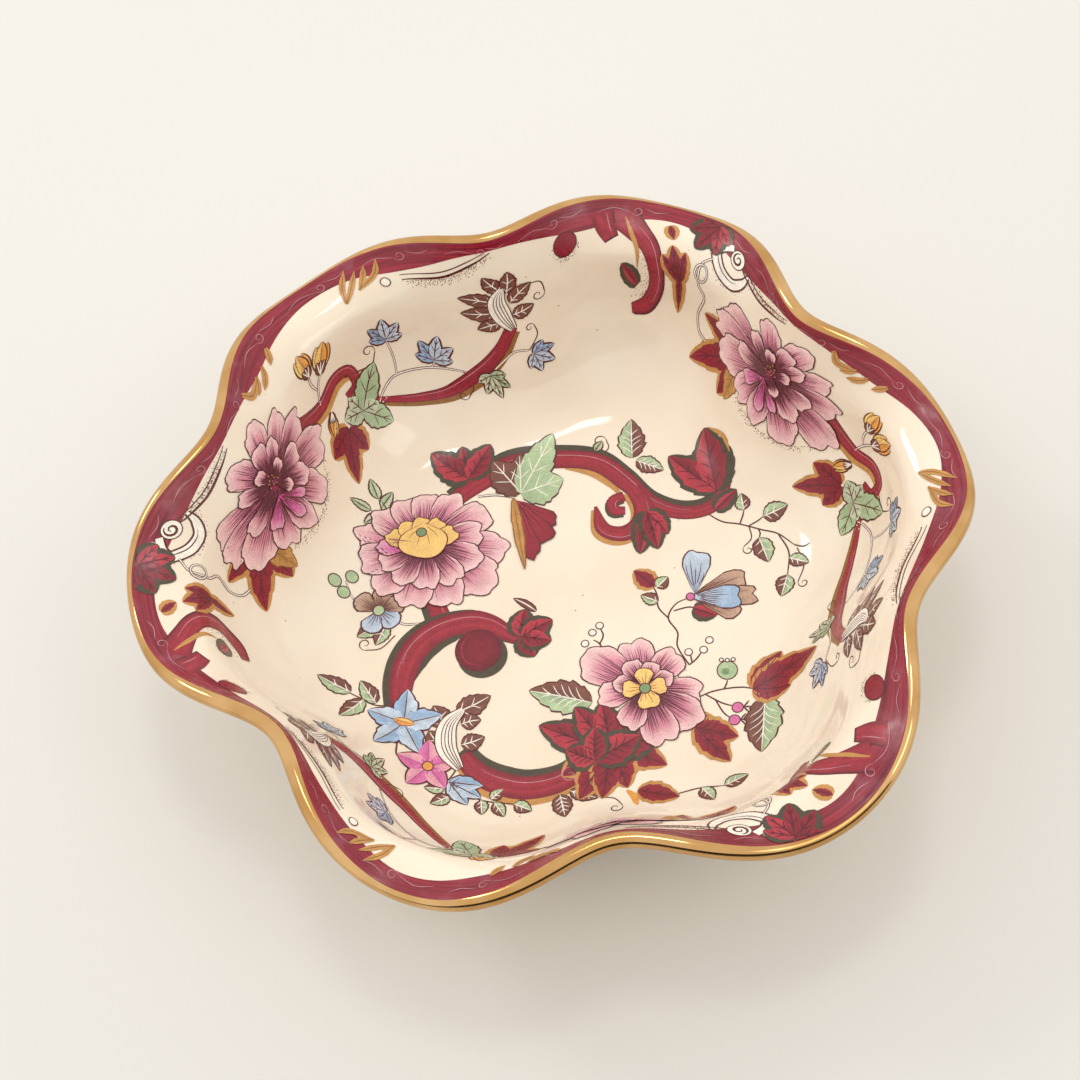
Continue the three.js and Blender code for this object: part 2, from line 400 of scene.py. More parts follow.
@dataclass
class Drawing:
    """A flat drawing in millimetres: coloured sheets, one over another, and dotted zones.

    A sheet's level says how many coats it lies over the glaze.
    """

    seed: int
    first_lift: float = 0.05
    coat: float = 0.014
    sheets: list[tuple[np.ndarray, np.ndarray, float]] = field(default_factory=list)
    zones: list[tuple[np.ndarray, np.ndarray]] = field(default_factory=list)

    def __post_init__(self) -> None:
        """Starts the hand's own small differences."""
        self.hand = np.random.default_rng(self.seed)

    def sheet(self, points: np.ndarray, colours: np.ndarray, level: float) -> None:
        """Adds a grid of points with a colour each."""
        self.sheets.append((points, np.broadcast_to(colours, (*points.shape[:2], 3)), level))

    def ribbon(
        self,
        line: np.ndarray,
        left: np.ndarray,
        right: np.ndarray,
        shade: Shade,
        level: float,
    ) -> None:
        """Draws a band that follows a line."""
        across = max(1, int(round(float((left + right).max()) / 0.9)))
        u = np.linspace(0, 1, len(line))[:, None]
        v = np.linspace(-1, 1, across + 1)[None, :]
        offset = np.where(v > 0, v * left[:, None], v * right[:, None])
        points = line[:, None, :] + left_of(line)[:, None, :] * offset[..., None]
        shape = points.shape[:2]
        self.sheet(points, shade(np.broadcast_to(u, shape), np.broadcast_to(v, shape)), level)

    def stroke(
        self,
        path: Sequence[Point] | np.ndarray,
        width: float,
        ink: Ink,
        level: float,
        ends: Point = (0.35, 0.35),
    ) -> None:
        """Draws a pen line."""
        line = smooth(path, 1.0)
        u = np.linspace(0, 1, len(line))
        swell = np.interp(u, [0, 0.3, 0.7, 1], [ends[0], 1, 1, ends[1]])
        half = swell * width / 2
        self.ribbon(line, half, half, lambda a, b: ink.colour, level)

    def double_stroke(self, path: Sequence[Point], width: float, level: float, ink: Ink = Ink.LINE) -> None:
        """Draws a thin hollow stem: a pale band between two pen lines."""
        self.stroke(path, width, ink, level, (0.8, 0.8))
        self.stroke(path, width * 0.45, Ink.WHITE, level + 1, (0.8, 0.8))

    def dot(self, centre: Point, radius: float, fill: Ink, level: float, rim: Ink = Ink.LINE) -> None:
        """Draws a round berry or eye with an inked rim."""
        around = np.linspace(0, 2 * math.pi, 19)
        circle = np.stack([np.cos(around), np.sin(around)], -1)
        for ink, size, step in ((rim, radius, 0), (fill, radius - 0.35, 1)):
            rings = np.linspace(0, size, 3)[None, :, None]
            points = np.array(centre) + circle[:, None, :] * rings
            self.sheet(points, ink.colour, level + step)

    def curl(
        self,
        centre: Point,
        radius: float,
        turns: float,
        start: float,
        level: float,
        width: float = 0.4,
        ink: Ink = Ink.LINE,
    ) -> None:
        """Draws a spiral from its outer end inwards."""
        t = np.linspace(0, 1, int(10 * abs(turns)) + 4)
        angle = math.radians(start) + 2 * math.pi * turns * t
        reach = radius * (1 - 0.75 * t)
        path = np.array(centre) + np.stack([np.cos(angle), np.sin(angle)], -1) * reach[:, None]
        self.stroke(path, width, ink, level)

    def zone(self, path: Sequence[Point], width: float, density: float, inward: float = 0.0) -> None:
        """Marks a strip beside a line to be shaded with fine dots, thinning out to its left."""
        line = smooth(path, 1.5)
        offset = np.linspace(-inward, width, 5)
        points = line[:, None, :] + left_of(line)[:, None, :] * offset[None, :, None]
        fade = density * (1 - np.linspace(0, 1, 5)) ** 1.2
        ends = np.sin(np.linspace(0, math.pi, len(line))) ** 0.35
        self.zones.append((points, ends[:, None] * fade[None, :]))

    # -- leaves --

    def leaf(
        self,
        base: Point,
        tip: Point,
        width: float,
        kind: Leaf,
        level: float,
        bend: float = 0.0,
        veins: int = 4,
    ) -> None:
        """Draws a pointed leaf with toothed edges, a midrib and side veins."""
        finish = kind.value
        start, end = np.array(base, float), np.array(tip, float)
        span = end - start
        bow = np.array([-span[1], span[0]]) / max(np.linalg.norm(span), 1e-6) * bend
        line = smooth([start, (start + end) / 2 + bow, end], 0.8, 12)
        u = np.linspace(0, 1, len(line))
        body = np.sin(math.pi * u**0.78) ** 0.85 * width / 2
        teeth = 1 - 0.2 * (1 - (u * finish.teeth) % 1) * (u > 0.08) * (u < 0.97)
        edge = finish.edge_width
        outer = body * teeth + edge * np.sqrt(np.clip(1 - u**6, 0.02, 1))
        inner = np.maximum(body * teeth - 0.15, 0.02)
        self.ribbon(line, outer, outer, lambda a, b: finish.edge.colour, level)
        left, right = finish.left.colour, finish.right.colour

        def shade(along: np.ndarray, across: np.ndarray) -> np.ndarray:
            """Deeper by the midrib and the base, and paler at the edge."""
            half = np.where(across[..., None] > 0, left, right)
            depth = 0.8 + 0.3 * np.abs(across) + 0.08 * np.sin(along * 19 + across * 5)
            return np.clip(half * depth[..., None], 0, 1)

        self.ribbon(line, inner, inner, shade, level + 1)
        self.stroke(line[:-1], finish.vein_width, finish.vein, level + 2)
        side = left_of(line)
        for step in range(veins):
            at = 0.12 + 0.62 * step / max(veins, 1)
            root = int(at * (len(line) - 1))
            reach = min(int((at + 0.2) * (len(line) - 1)), len(line) - 2)
            for turn in (1, -1):
                end_point = line[reach] + side[reach] * turn * inner[reach] * 0.78
                middle = (line[root] + end_point) / 2 - side[root] * turn * 0.15 * inner[reach]
                self.stroke(
                    [line[root], middle, end_point], finish.vein_width * 0.7, finish.vein, level + 2
                )

    def lobed_leaf(
        self,
        base: Point,
        heading: float,
        size: float,
        kind: Leaf,
        level: float,
        lobes: Sequence[tuple[float, float, float]] = (
            (-78, 0.6, 0.42), (78, 0.6, 0.42), (-38, 0.85, 0.42), (38, 0.85, 0.42), (0, 1, 0.42),
        ),
    ) -> None:
        """Draws a vine leaf: pointed lobes from one base, under one edge."""
        finish = kind.value
        start = np.array(base, float)
        blades = []
        for turn, length, width in lobes:
            tip = start + heading_vector(heading + turn) * size * length
            line = smooth([start, tip], 0.8, 10)
            u = np.linspace(0, 1, len(line))
            body = np.sin(math.pi * np.clip(u * 0.93 + 0.07, 0, 1) ** 0.9) ** 0.8 * size * width / 2
            body = body * (1 - 0.16 * (1 - (u * finish.teeth) % 1))
            blades.append((line, np.maximum(body, 0.05), u))
        for order, (line, body, u) in enumerate(blades):
            outer = body + finish.edge_width * np.sqrt(np.clip(1.05 - u**6, 0.05, 1))
            self.ribbon(line, outer, outer, lambda a, b: finish.edge.colour, level + 0.12 * order)
        left, right = finish.left.colour, finish.right.colour
        for order, (line, body, _) in enumerate(blades):
            tint = 0.9 + 0.2 * self.hand.random()
            side = left if order % 2 else right
            shade: Shade = lambda a, b, c=side, k=tint: c * (k * (0.8 + 0.3 * a))[..., None]
            inner = np.maximum(body - 0.2, 0.02)
            self.ribbon(line, inner, inner, shade, level + 1 + 0.3 * order)
        for line, body, _ in blades:
            self.stroke(line[:-1], finish.vein_width, finish.vein, level + 3)
            side = left_of(line)
            for at in (0.35, 0.6):
                root, reach = int(at * len(line)), min(int((at + 0.2) * len(line)), len(line) - 1)
                for turn in (1, -1):
                    end = line[reach] + side[reach] * turn * body[reach] * 0.7
                    self.stroke([line[root], end], finish.vein_width * 0.7, finish.vein, level + 3)

    def sprig(self, stem: Sequence[Point], leaf_size: float, level: float, kind: Leaf = Leaf.GREEN) -> None:
        """Draws a thin stem with small leaves by turns on its sides, and one at its end."""
        line = smooth(stem, 1.0)
        self.stroke(line, 0.4, Ink.LINE, level)
        side = left_of(line)
        count = max(int(len(line) / (leaf_size * 0.55)), 1)
        for step in range(count):
            root = int((step + 0.8) / (count + 0.6) * (len(line) - 1))
            turn = 1 if step % 2 else -1
            ahead = np.array([side[root][1], -side[root][0]])
            tip = line[root] + (side[root] * turn * 0.85 + ahead * 0.55) * leaf_size
            self.leaf(line[root], tip, leaf_size * 0.52, kind, level + 1, 0.0, 0)
        ahead = np.array([side[-1][1], -side[-1][0]])
        self.leaf(line[-1], line[-1] + ahead * leaf_size, leaf_size * 0.52, kind, level + 1, 0.0, 0)

    # -- petals --

    def petal(
        self,
        base: Point,
        heading: float,
        length: float,
        spread: float,
        kind: Petal,
        level: float,
        scallops: int = 4,
        ripple: float = 0.055,
    ) -> None:
        """Draws a petal that opens like a fan, with a scalloped edge and fine lines up it."""
        finish = kind.value
        start = np.array(base, float)
        rings = max(4, int(length / 1.3))
        columns = max(9, int(length * math.radians(spread) * 2 / 0.9))
        s = np.linspace(-1, 1, columns)
        phase = self.hand.uniform(-0.4, 0.4)
        rounds = np.abs(np.sin(math.pi * scallops * (s + 1) / 2 + phase)) ** 0.7
        outline = (1 - 0.985 * np.abs(s) ** 3) ** 0.42 * (1 - ripple * (1 - rounds))
        outline = outline * (1 + 0.03 * np.sin(7 * s + 6 * phase)) * length
        spread = spread * 1.22

        def fan(reach: np.ndarray, sideways: float) -> tuple[np.ndarray, np.ndarray]:
            """The petal's grid of points, and the share of the way out for each."""
            turn = np.radians(heading + s * sideways)
            rays = np.stack([np.cos(turn), np.sin(turn)], -1)
            out = np.broadcast_to(np.linspace(0, 1, rings)[None, :], (columns, rings))
            return start + rays[:, None, :] * (reach[:, None] * out)[..., None], out

        edge = finish.edge_width
        points, _ = fan(outline + edge, spread + math.degrees(edge / length) * 1.3)
        self.sheet(points, Ink.LINE.colour, level)
        points, out = fan(outline, spread)
        tint = blend(finish.base.colour, finish.tip.colour, out**finish.fade)
        tint = blend(tint, Ink.WHITE.colour, np.clip(out - 0.72, 0, 1) * finish.pale_edge)
        self.sheet(points, tint, level + 1)
        for step in range(finish.lines):
            at = -0.82 + 1.64 * (step + 0.5) / finish.lines + self.hand.uniform(-0.03, 0.03)
            reach = np.interp(at, s, outline) * self.hand.uniform(0.55, 0.93)
            root = np.interp(at, s, outline) * self.hand.uniform(0.1, 0.3)
            ray = heading_vector(heading + at * spread)
            bow = np.array([-ray[1], ray[0]]) * at * 0.04 * length
            path = [start + ray * root, start + ray * (root + reach) / 2 + bow, start + ray * reach]
            self.stroke(path, 0.26, finish.line, level + 2, (1.0, 0.15))

    def bud(self, base: Point, heading: float, length: float, level: float, kind: Leaf = Leaf.BUD) -> None:
        """Draws a closed bud: three narrow petals in a dark cup."""
        for order, turn in enumerate((-13, 13, 0)):
            tip = np.array(base, float) + heading_vector(heading + turn) * length * (1 - 0.08 * (turn != 0))
            self.leaf(base, tip, length * 0.48, kind, level + order, 0.0, 0)
        cup = np.array(base, float)
        for turn in (-24, 0, 24):
            tip = cup + heading_vector(heading + turn) * length * 0.38
            self.leaf(
                cup - heading_vector(heading) * 0.8, tip, length * 0.22, Leaf.SHADED, level + 5, 0.0, 0
            )

    # -- scrolls --

    def scroll(
        self,
        path: Sequence[Point],
        widths: Sequence[float],
        level: float,
        shadow: Point = (-1.6, -0.6),
        shadow_ink: Ink = Ink.OLIVE,
    ) -> None:
        """Draws a wine-red scroll with a brushed face, a shadow behind it and pale scratches."""
        line = smooth(path, 1.0)
        u = np.linspace(0, 1, len(line))
        half = np.interp(u, np.linspace(0, 1, len(widths)), widths) / 2
        phase = self.hand.uniform(0, 6, 3)

        def shade(along: np.ndarray, across: np.ndarray) -> np.ndarray:
            """Brush strokes run along the scroll, and its sides are darker."""
            broad = 0.28 * np.sin(across * 9 + phase[0])
            streak = 0.5 + broad + 0.2 * np.sin(across * 17 + along * 7 + phase[1])
            side = np.clip(np.abs(across) * 1.5 - 0.75, 0, 1)
            face = blend(Ink.WINE.colour, Ink.WINE_LIGHT.colour, streak * 0.8)
            return blend(face, Ink.WINE_DARK.colour, side * 0.8)

        self.ribbon(
            line + np.array(shadow), half * 1.02, half * 1.02, lambda a, b: shadow_ink.colour, level
        )
        self.ribbon(line, half, half, shade, level + 1)
        ridge = line + left_of(line) * (half * 0.45)[:, None]
        middle = slice(len(ridge) // 6, 5 * len(ridge) // 6)
        self.stroke(ridge[middle], 0.22, Ink.SCRATCH, level + 2)

    # -- to meshes --

    def make_mesh(self, name: str, chart: Chart, material: bpy.types.Material) -> bpy.types.Object:
        """Lays the drawing on the bowl as one mesh with its colours in the Ink attribute."""
        drawn, colours, lifts, faces = [], [], [], []
        offset = 0
        for points, tints, level in self.sheets:
            rows, columns = points.shape[:2]
            index = np.arange(rows * columns).reshape(rows, columns) + offset
            quads = np.stack([index[:-1, :-1], index[1:, :-1], index[1:, 1:], index[:-1, 1:]], -1)
            first = points[1:, 1:] - points[:-1, :-1]
            second = points[:-1, 1:] - points[1:, :-1]
            turned = first[..., 0] * second[..., 1] - first[..., 1] * second[..., 0] < 0
            quads = np.where(turned[..., None], quads[..., ::-1], quads)
            faces.append(quads.reshape(-1, 4))
            drawn.append(points.reshape(-1, 2))
            colours.append(tints.reshape(-1, 3))
            lifts.append(np.full(rows * columns, self.first_lift + self.coat * level))
            offset += rows * columns
        vertices = chart.place(np.vstack(drawn), np.concatenate(lifts))
        piece = mesh_object(name, vertices, np.vstack(faces), material)
        ink = piece.data.color_attributes.new("Ink", "FLOAT_COLOR", "POINT")
        tints = np.clip(np.vstack(colours), 0, 1)
        ink.data.foreach_set("color", np.hstack([tints, np.ones((len(tints), 1))]).ravel())
        return piece

    def make_zones(self, name: str, chart: Chart, material: bpy.types.Material) -> bpy.types.Object:
        """Lays the dotted zones on the bowl as a mesh with a Density attribute."""
        drawn, density, faces = [], [], []
        offset = 0
        for points, thick in self.zones:
            rows, columns = points.shape[:2]
            index = np.arange(rows * columns).reshape(rows, columns) + offset
            quads = np.stack([index[:-1, :-1], index[:-1, 1:], index[1:, 1:], index[1:, :-1]], -1)
            faces.append(quads.reshape(-1, 4))
            drawn.append(points.reshape(-1, 2))
            density.append(thick.ravel())
            offset += rows * columns
        flat = np.vstack(drawn)
        vertices = chart.place(flat, np.full(len(flat), self.first_lift))
        piece = mesh_object(name, vertices, np.vstack(faces), material)
        piece.data.attributes.new("Density", "FLOAT", "POINT").data.foreach_set(
            "value", np.concatenate(density)
        )
        return piece


def mesh_object(
    name: str, vertices: np.ndarray, faces: np.ndarray, material: bpy.types.Material | None
) -> bpy.types.Object:
    """Makes a smooth-shaded mesh object in the scene."""
    mesh = bpy.data.meshes.new(name)
    mesh.from_pydata((vertices * MM).tolist(), [], faces.tolist())
    mesh.shade_smooth()
    if material:
        mesh.materials.append(material)
    piece = bpy.data.objects.new(name, mesh)
    bpy.context.scene.collection.objects.link(piece)
    return piece


# ---- geometry nodes ------------------------------------------------------------------


class Socket(Enum):
    """The kinds of input that a node tree here takes."""

    GEOMETRY = "NodeSocketGeometry"
    INTEGER = "NodeSocketInt"
    FLOAT = "NodeSocketFloat"
    MATERIAL = "NodeSocketMaterial"


@dataclass
class NodesPiece:
    """Runs a node tree on a mesh and keeps the result as a plain mesh."""

    tree: bpy.types.NodeTree

    def make(self, carrier: bpy.types.Object, inputs: dict[str, Any]) -> bpy.types.Object:
        """Adds the modifier, sets its inputs, and replaces the carrier's mesh by the result."""
        modifier = carrier.modifiers.new("Shape", "NODES")
        modifier.node_group = self.tree
        for item in self.tree.interface.items_tree:
            if item.item_type == "SOCKET" and item.in_out == "INPUT" and item.name in inputs:
                modifier[item.identifier] = inputs[item.name]
        carrier.update_tag()
        graph = bpy.context.evaluated_depsgraph_get()
        made = bpy.data.meshes.new_from_object(carrier.evaluated_get(graph), depsgraph=graph)
        carrier.modifiers.clear()
        carrier.data = made
        made.name = carrier.name
        return carrier


def new_tree(name: str, inputs: dict[str, Socket]) -> tuple[bpy.types.NodeTree, bpy.types.Node]:
    """Starts a geometry node tree with named inputs and one geometry output."""
    tree = bpy.data.node_groups.new(name, "GeometryNodeTree")
    for label, kind in inputs.items():
        tree.interface.new_socket(label, in_out="INPUT", socket_type=kind.value)
    tree.interface.new_socket("Geometry", in_out="OUTPUT", socket_type=Socket.GEOMETRY.value)
    return tree, tree.nodes.new("NodeGroupInput")


def finish_tree(
    tree: bpy.types.NodeTree, geometry: bpy.types.NodeSocket, material: bpy.types.NodeSocket
) -> None:
    """Ends a tree: realizes its instances and sets the material."""
    real = add_node(tree, "GeometryNodeRealizeInstances", inputs={0: geometry})
    painted = add_node(tree, "GeometryNodeSetMaterial", inputs={0: real.outputs[0], 2: material})
    add_node(tree, "NodeGroupOutput", inputs={0: painted.outputs[0]})


@dataclass
class LobedShell:
    """The tree that turns the two profiles into a closed shell, or into a band of it.

    A place on the section runs from 0 in the middle of the inside, over the rim, to 1 in
    the middle of the underside.
    """

    shape: BowlShape
    samples: int = 521
    rim_inside: float = 0.46
    rim_outside: float = 0.54

    def carrier(self, name: str) -> bpy.types.Object:
        """A mesh whose vertices are the two profiles, one after the other."""
        share = np.linspace(0, 1, self.samples)
        rows = [self.shape.profile(p, share) for p in (self.shape.lobe_profile, self.shape.notch_profile)]
        flat = np.vstack(rows)
        return mesh_object(name, np.insert(flat, 1, 0, axis=1), np.zeros((0, 3), int), None)

    def __post_init__(self) -> None:
        """Builds the tree."""
        inputs = {
            "Geometry": Socket.GEOMETRY,
            "Columns": Socket.INTEGER,
            "Rows": Socket.INTEGER,
            "Start": Socket.FLOAT,
            "End": Socket.FLOAT,
            "Wobble": Socket.FLOAT,
            "Dip": Socket.FLOAT,
            "Lift": Socket.FLOAT,
            "Material": Socket.MATERIAL,
        }
        self.tree, self.given = new_tree("Lobed shell", inputs)
        self.position = add_node(self.tree, "GeometryNodeInputPosition").outputs[0]
        sheet = add_node(
            self.tree,
            "GeometryNodeMeshGrid",
            inputs={
                "Size X": 1.0, "Size Y": 1.0, "Vertices X": self.input("Columns"),
                "Vertices Y": self.input("Rows")
            },
        )
        place = self.split(self.position)
        angle = (place[0] + 0.5) * (2 * math.pi)
        upward = place[1] + 0.5
        section = self.section(angle, upward)
        mirrored = (section * -1.0 + 1.0).apply("MINIMUM", section)
        share = (mirrored / self.rim_inside).clamp(0, 1)
        turn = ((section - self.rim_inside) / (self.rim_outside - self.rim_inside)).clamp(0, 1) * math.pi
        moved = self.offset(angle, share, turn, section)
        kept = add_node(
            self.tree,
            "GeometryNodeStoreNamedAttribute",
            {"data_type": "FLOAT", "domain": "POINT"},
            {"Geometry": sheet.outputs[0], "Name": "Across", "Value": section.socket},
        )
        placed = add_node(
            self.tree, "GeometryNodeSetPosition", inputs={"Geometry": kept.outputs[0], "Position": moved}
        )
        merged = add_node(
            self.tree, "GeometryNodeMergeByDistance",
            inputs={"Geometry": placed.outputs[0], "Distance": 2e-5}
        )
        turned = add_node(self.tree, "GeometryNodeFlipFaces", inputs={0: merged.outputs[0]})
        rounded = add_node(self.tree, "GeometryNodeSetShadeSmooth", inputs={0: turned.outputs[0]})
        finish_tree(self.tree, rounded.outputs[0], self.input("Material"))

    def input(self, name: str) -> bpy.types.NodeSocket:
        """The socket of a named input."""
        return self.given.outputs[name]

    def number(self, name: str) -> Scalar:
        """A named input as a number."""
        return Scalar(self.tree, self.input(name))

    def split(self, vector: bpy.types.NodeSocket) -> list[Scalar]:
        """A vector's three parts."""
        node = add_node(self.tree, "ShaderNodeSeparateXYZ", inputs={0: vector})
        return [Scalar(self.tree, out) for out in node.outputs]

    def vector(
        self, operation: str, first: Any, second: Any = None, scale: Any = None
    ) -> bpy.types.NodeSocket:
        """Adds one Vector Math node."""
        inputs = {0: first}
        if second is not None:
            inputs[1] = second
        if scale is not None:
            inputs["Scale"] = scale
        return add_node(self.tree, "ShaderNodeVectorMath", {"operation": operation}, inputs).outputs[0]

    def section(self, angle: Scalar, upward: Scalar) -> Scalar:
        """The place on the section, with a hand-painted first edge that dips beside each lobe."""
        wave = (angle * self.shape.lobes).apply("COSINE")
        beside = wave * wave * -1.0 + 1.0
        crown = (wave + 1.0) * 0.2
        hand = (angle * 23.0).apply("SINE") + (angle * 13.0 + 1.3).apply("SINE")
        hand = hand + (angle * 41.0 + 2.1).apply("SINE") * 0.5
        start = self.number("Start") - self.number("Dip") * (beside + crown) + self.number("Wobble") * hand
        return start + (self.number("End") - start) * upward

    def sample(self, along: Scalar, first: int) -> list[Scalar]:
        """Reads a profile between two of its vertices."""
        below = along.apply("FLOOR")
        ends = []
        for step in (0.0, 1.0):
            index = (below + (first + step)).clamp(first, first + self.samples - 1)
            node = add_node(
                self.tree,
                "GeometryNodeSampleIndex",
                {"data_type": "FLOAT_VECTOR", "domain": "POINT"},
                {"Geometry": self.input("Geometry"), "Value": self.position, "Index": index.socket},
            )
            ends.append(self.split(node.outputs[0]))
        part = along - below
        return [part.mix(a, b) for a, b in zip(*ends)]

    def inside(self, angle: Scalar, share: Scalar) -> bpy.types.NodeSocket:
        """The inside surface as a field, by the same rule as BowlShape."""
        along = share * (self.samples - 1)
        lobe = self.sample(along, 0)
        notch = self.sample(along, self.samples)
        wave = (angle * self.shape.lobes).apply("COSINE")
        lobeness = (wave + 1.0) * 0.5
        reach = lobeness + (wave * wave * -1.0 + 1.0) * self.shape.fullness
        drawn = angle * 0.0
        for waves, amount, crest in self.shape.hand_drawn:
            drawn = drawn + ((angle - math.radians(crest)) * waves).apply("COSINE") * amount
        radius = reach.mix(notch[0], lobe[0]) * (drawn * share * share * share + 1.0)
        height = (lobeness * lobeness).mix(notch[2], lobe[2]) + self.shape.floor_top * MM
        x = radius * angle.apply("COSINE")
        y = radius * angle.apply("SINE")
        inputs = {0: x.socket, 1: y.socket, 2: height.socket}
        return add_node(self.tree, "ShaderNodeCombineXYZ", inputs=inputs).outputs[0]

    def offset(self, angle: Scalar, share: Scalar, turn: Scalar, section: Scalar) -> bpy.types.NodeSocket:
        """Stands the section off the inside: a half-round lip, then the outside."""
        step = 1e-3
        held = share.apply("MAXIMUM", 0.02)
        here = self.inside(angle, share)
        pivot = self.inside(angle, held)
        along = self.vector("SUBTRACT", self.inside(angle + step, held), pivot)
        climb = self.vector("SUBTRACT", pivot, self.inside(angle, held - step))
        food = self.vector("NORMALIZE", self.vector("CROSS_PRODUCT", climb, along))
        half = self.shape.wall * MM / 2
        bulge = self.number("Lift") + half
        outwards = turn.apply("COSINE") * bulge * -1.0 + half
        upwards = turn.apply("SINE") * bulge
        away = self.vector("SCALE", food, scale=(outwards * -1.0).socket)
        over = self.vector("SCALE", self.vector("NORMALIZE", climb), scale=upwards.socket)
        point = self.split(self.vector("ADD", self.vector("ADD", here, away), over))
        outside = section.apply("GREATER_THAN", 0.5)
        underside = (self.shape.floor_top - self.shape.wall) * MM
        level = outside.mix(point[2], point[2].apply("MAXIMUM", underside))
        inputs = {0: point[0].socket, 1: point[1].socket, 2: level.socket}
        return add_node(self.tree, "ShaderNodeCombineXYZ", inputs=inputs).outputs[0]

    def band(self, name: str, material: bpy.types.Material, **inputs: Any) -> bpy.types.Object:
        """Makes one piece of the shell."""
        values = {key.replace("_", " ").title(): value for key, value in inputs.items()}
        return NodesPiece(self.tree).make(self.carrier(name), {**values, "Material": material})


@dataclass
class Stipple:
    """The tree that shades a dotted zone with fine dots of ink, denser where the zone says."""

    radius: float = 0.2  # millimetres
    most: float = 5.5  # dots in a square millimetre

    def __post_init__(self) -> None:
        """Builds the tree."""
        inputs = {"Geometry": Socket.GEOMETRY, "Seed": Socket.INTEGER, "Material": Socket.MATERIAL}
        self.tree, given = new_tree("Stipple", inputs)
        thick = add_node(
            self.tree, "GeometryNodeInputNamedAttribute", {"data_type": "FLOAT"}, {"Name": "Density"}
        )
        amount = Scalar(self.tree, thick.outputs[0]) * (self.most / MM**2)
        points = add_node(
            self.tree,
            "GeometryNodeDistributePointsOnFaces",
            {"distribute_method": "RANDOM"},
            {"Mesh": given.outputs["Geometry"], "Density": amount.socket, "Seed": given.outputs["Seed"]},
        )
        dot = add_node(
            self.tree, "GeometryNodeMeshCircle", {"fill_type": "NGON"},
            {"Vertices": 6, "Radius": self.radius * MM}
        )
        size = add_node(
            self.tree, "FunctionNodeRandomValue", {"data_type": "FLOAT"},
            {"Min": 0.45, "Max": 1.15, "Seed": given.outputs["Seed"]}
        )
        dots = add_node(
            self.tree,
            "GeometryNodeInstanceOnPoints",
            inputs={
                "Points": points.outputs["Points"],
                "Instance": dot.outputs[0],
                "Rotation": points.outputs["Rotation"],
                "Scale": next(o for o in size.outputs if o.enabled),
            },
        )
        finish_tree(self.tree, dots.outputs[0], given.outputs["Material"])

    def shade(self, zones: bpy.types.Object, seed: int, material: bpy.types.Material) -> bpy.types.Object:
        """Turns a mesh of zones into its dots."""
        return NodesPiece(self.tree).make(zones, {"Seed": seed, "Material": material})


# ---- materials -----------------------------------------------------------------------


@dataclass(frozen=True)
class Surface:
    """What every finish here shares: a Principled surface with a pattern in real millimetres."""

    name: str

    def start(self) -> tuple[bpy.types.Material, bpy.types.NodeTree, bpy.types.Node, bpy.types.NodeSocket]:
        """Makes the material with its Principled node and its object coordinates."""
        material = bpy.data.materials.new(self.name)
        material.use_nodes = True
        tree = material.node_tree
        surface = tree.nodes["Principled BSDF"]
        return material, tree, surface, add_node(tree, "ShaderNodeTexCoord").outputs["Object"]

    @staticmethod
    def noise(
        tree: bpy.types.NodeTree, where: bpy.types.NodeSocket, size: float, detail: float = 2.0
    ) -> bpy.types.NodeSocket:
        """A noise whose patches are about the given millimetres wide."""
        inputs = {"Vector": where, "Scale": 1 / (size * MM), "Detail": detail}
        return add_node(tree, "ShaderNodeTexNoise", inputs=inputs).outputs[0]

    @staticmethod
    def ramp(
        tree: bpy.types.NodeTree, value: bpy.types.NodeSocket, *stops: tuple[float, str]
    ) -> bpy.types.NodeSocket:
        """Colours a value by stops."""
        node = add_node(tree, "ShaderNodeValToRGB", inputs={0: value})
        while len(node.color_ramp.elements) < len(stops):
            node.color_ramp.elements.new(0.5)
        for element, (at, tint) in zip(node.color_ramp.elements, stops):
            element.position = at
            element.color = rgba(tint)
        return node.outputs[0]

    @staticmethod
    def bump(tree: bpy.types.NodeTree, height: bpy.types.NodeSocket, depth: float) -> bpy.types.NodeSocket:
        """A bump of the given depth in millimetres."""
        inputs = {"Height": height, "Strength": 1.0, "Distance": depth * MM}
        return add_node(tree, "ShaderNodeBump", inputs=inputs).outputs[0]

    @staticmethod
    def remap(
        tree: bpy.types.NodeTree, value: bpy.types.NodeSocket, low: float, high: float
    ) -> bpy.types.NodeSocket:
        """Stretches 0.3 to 0.7, where most of a noise lies, to low and high."""
        inputs = {0: value, 1: 0.3, 2: 0.7, 3: low, 4: high}
        return add_node(tree, "ShaderNodeMapRange", inputs=inputs).outputs[0]


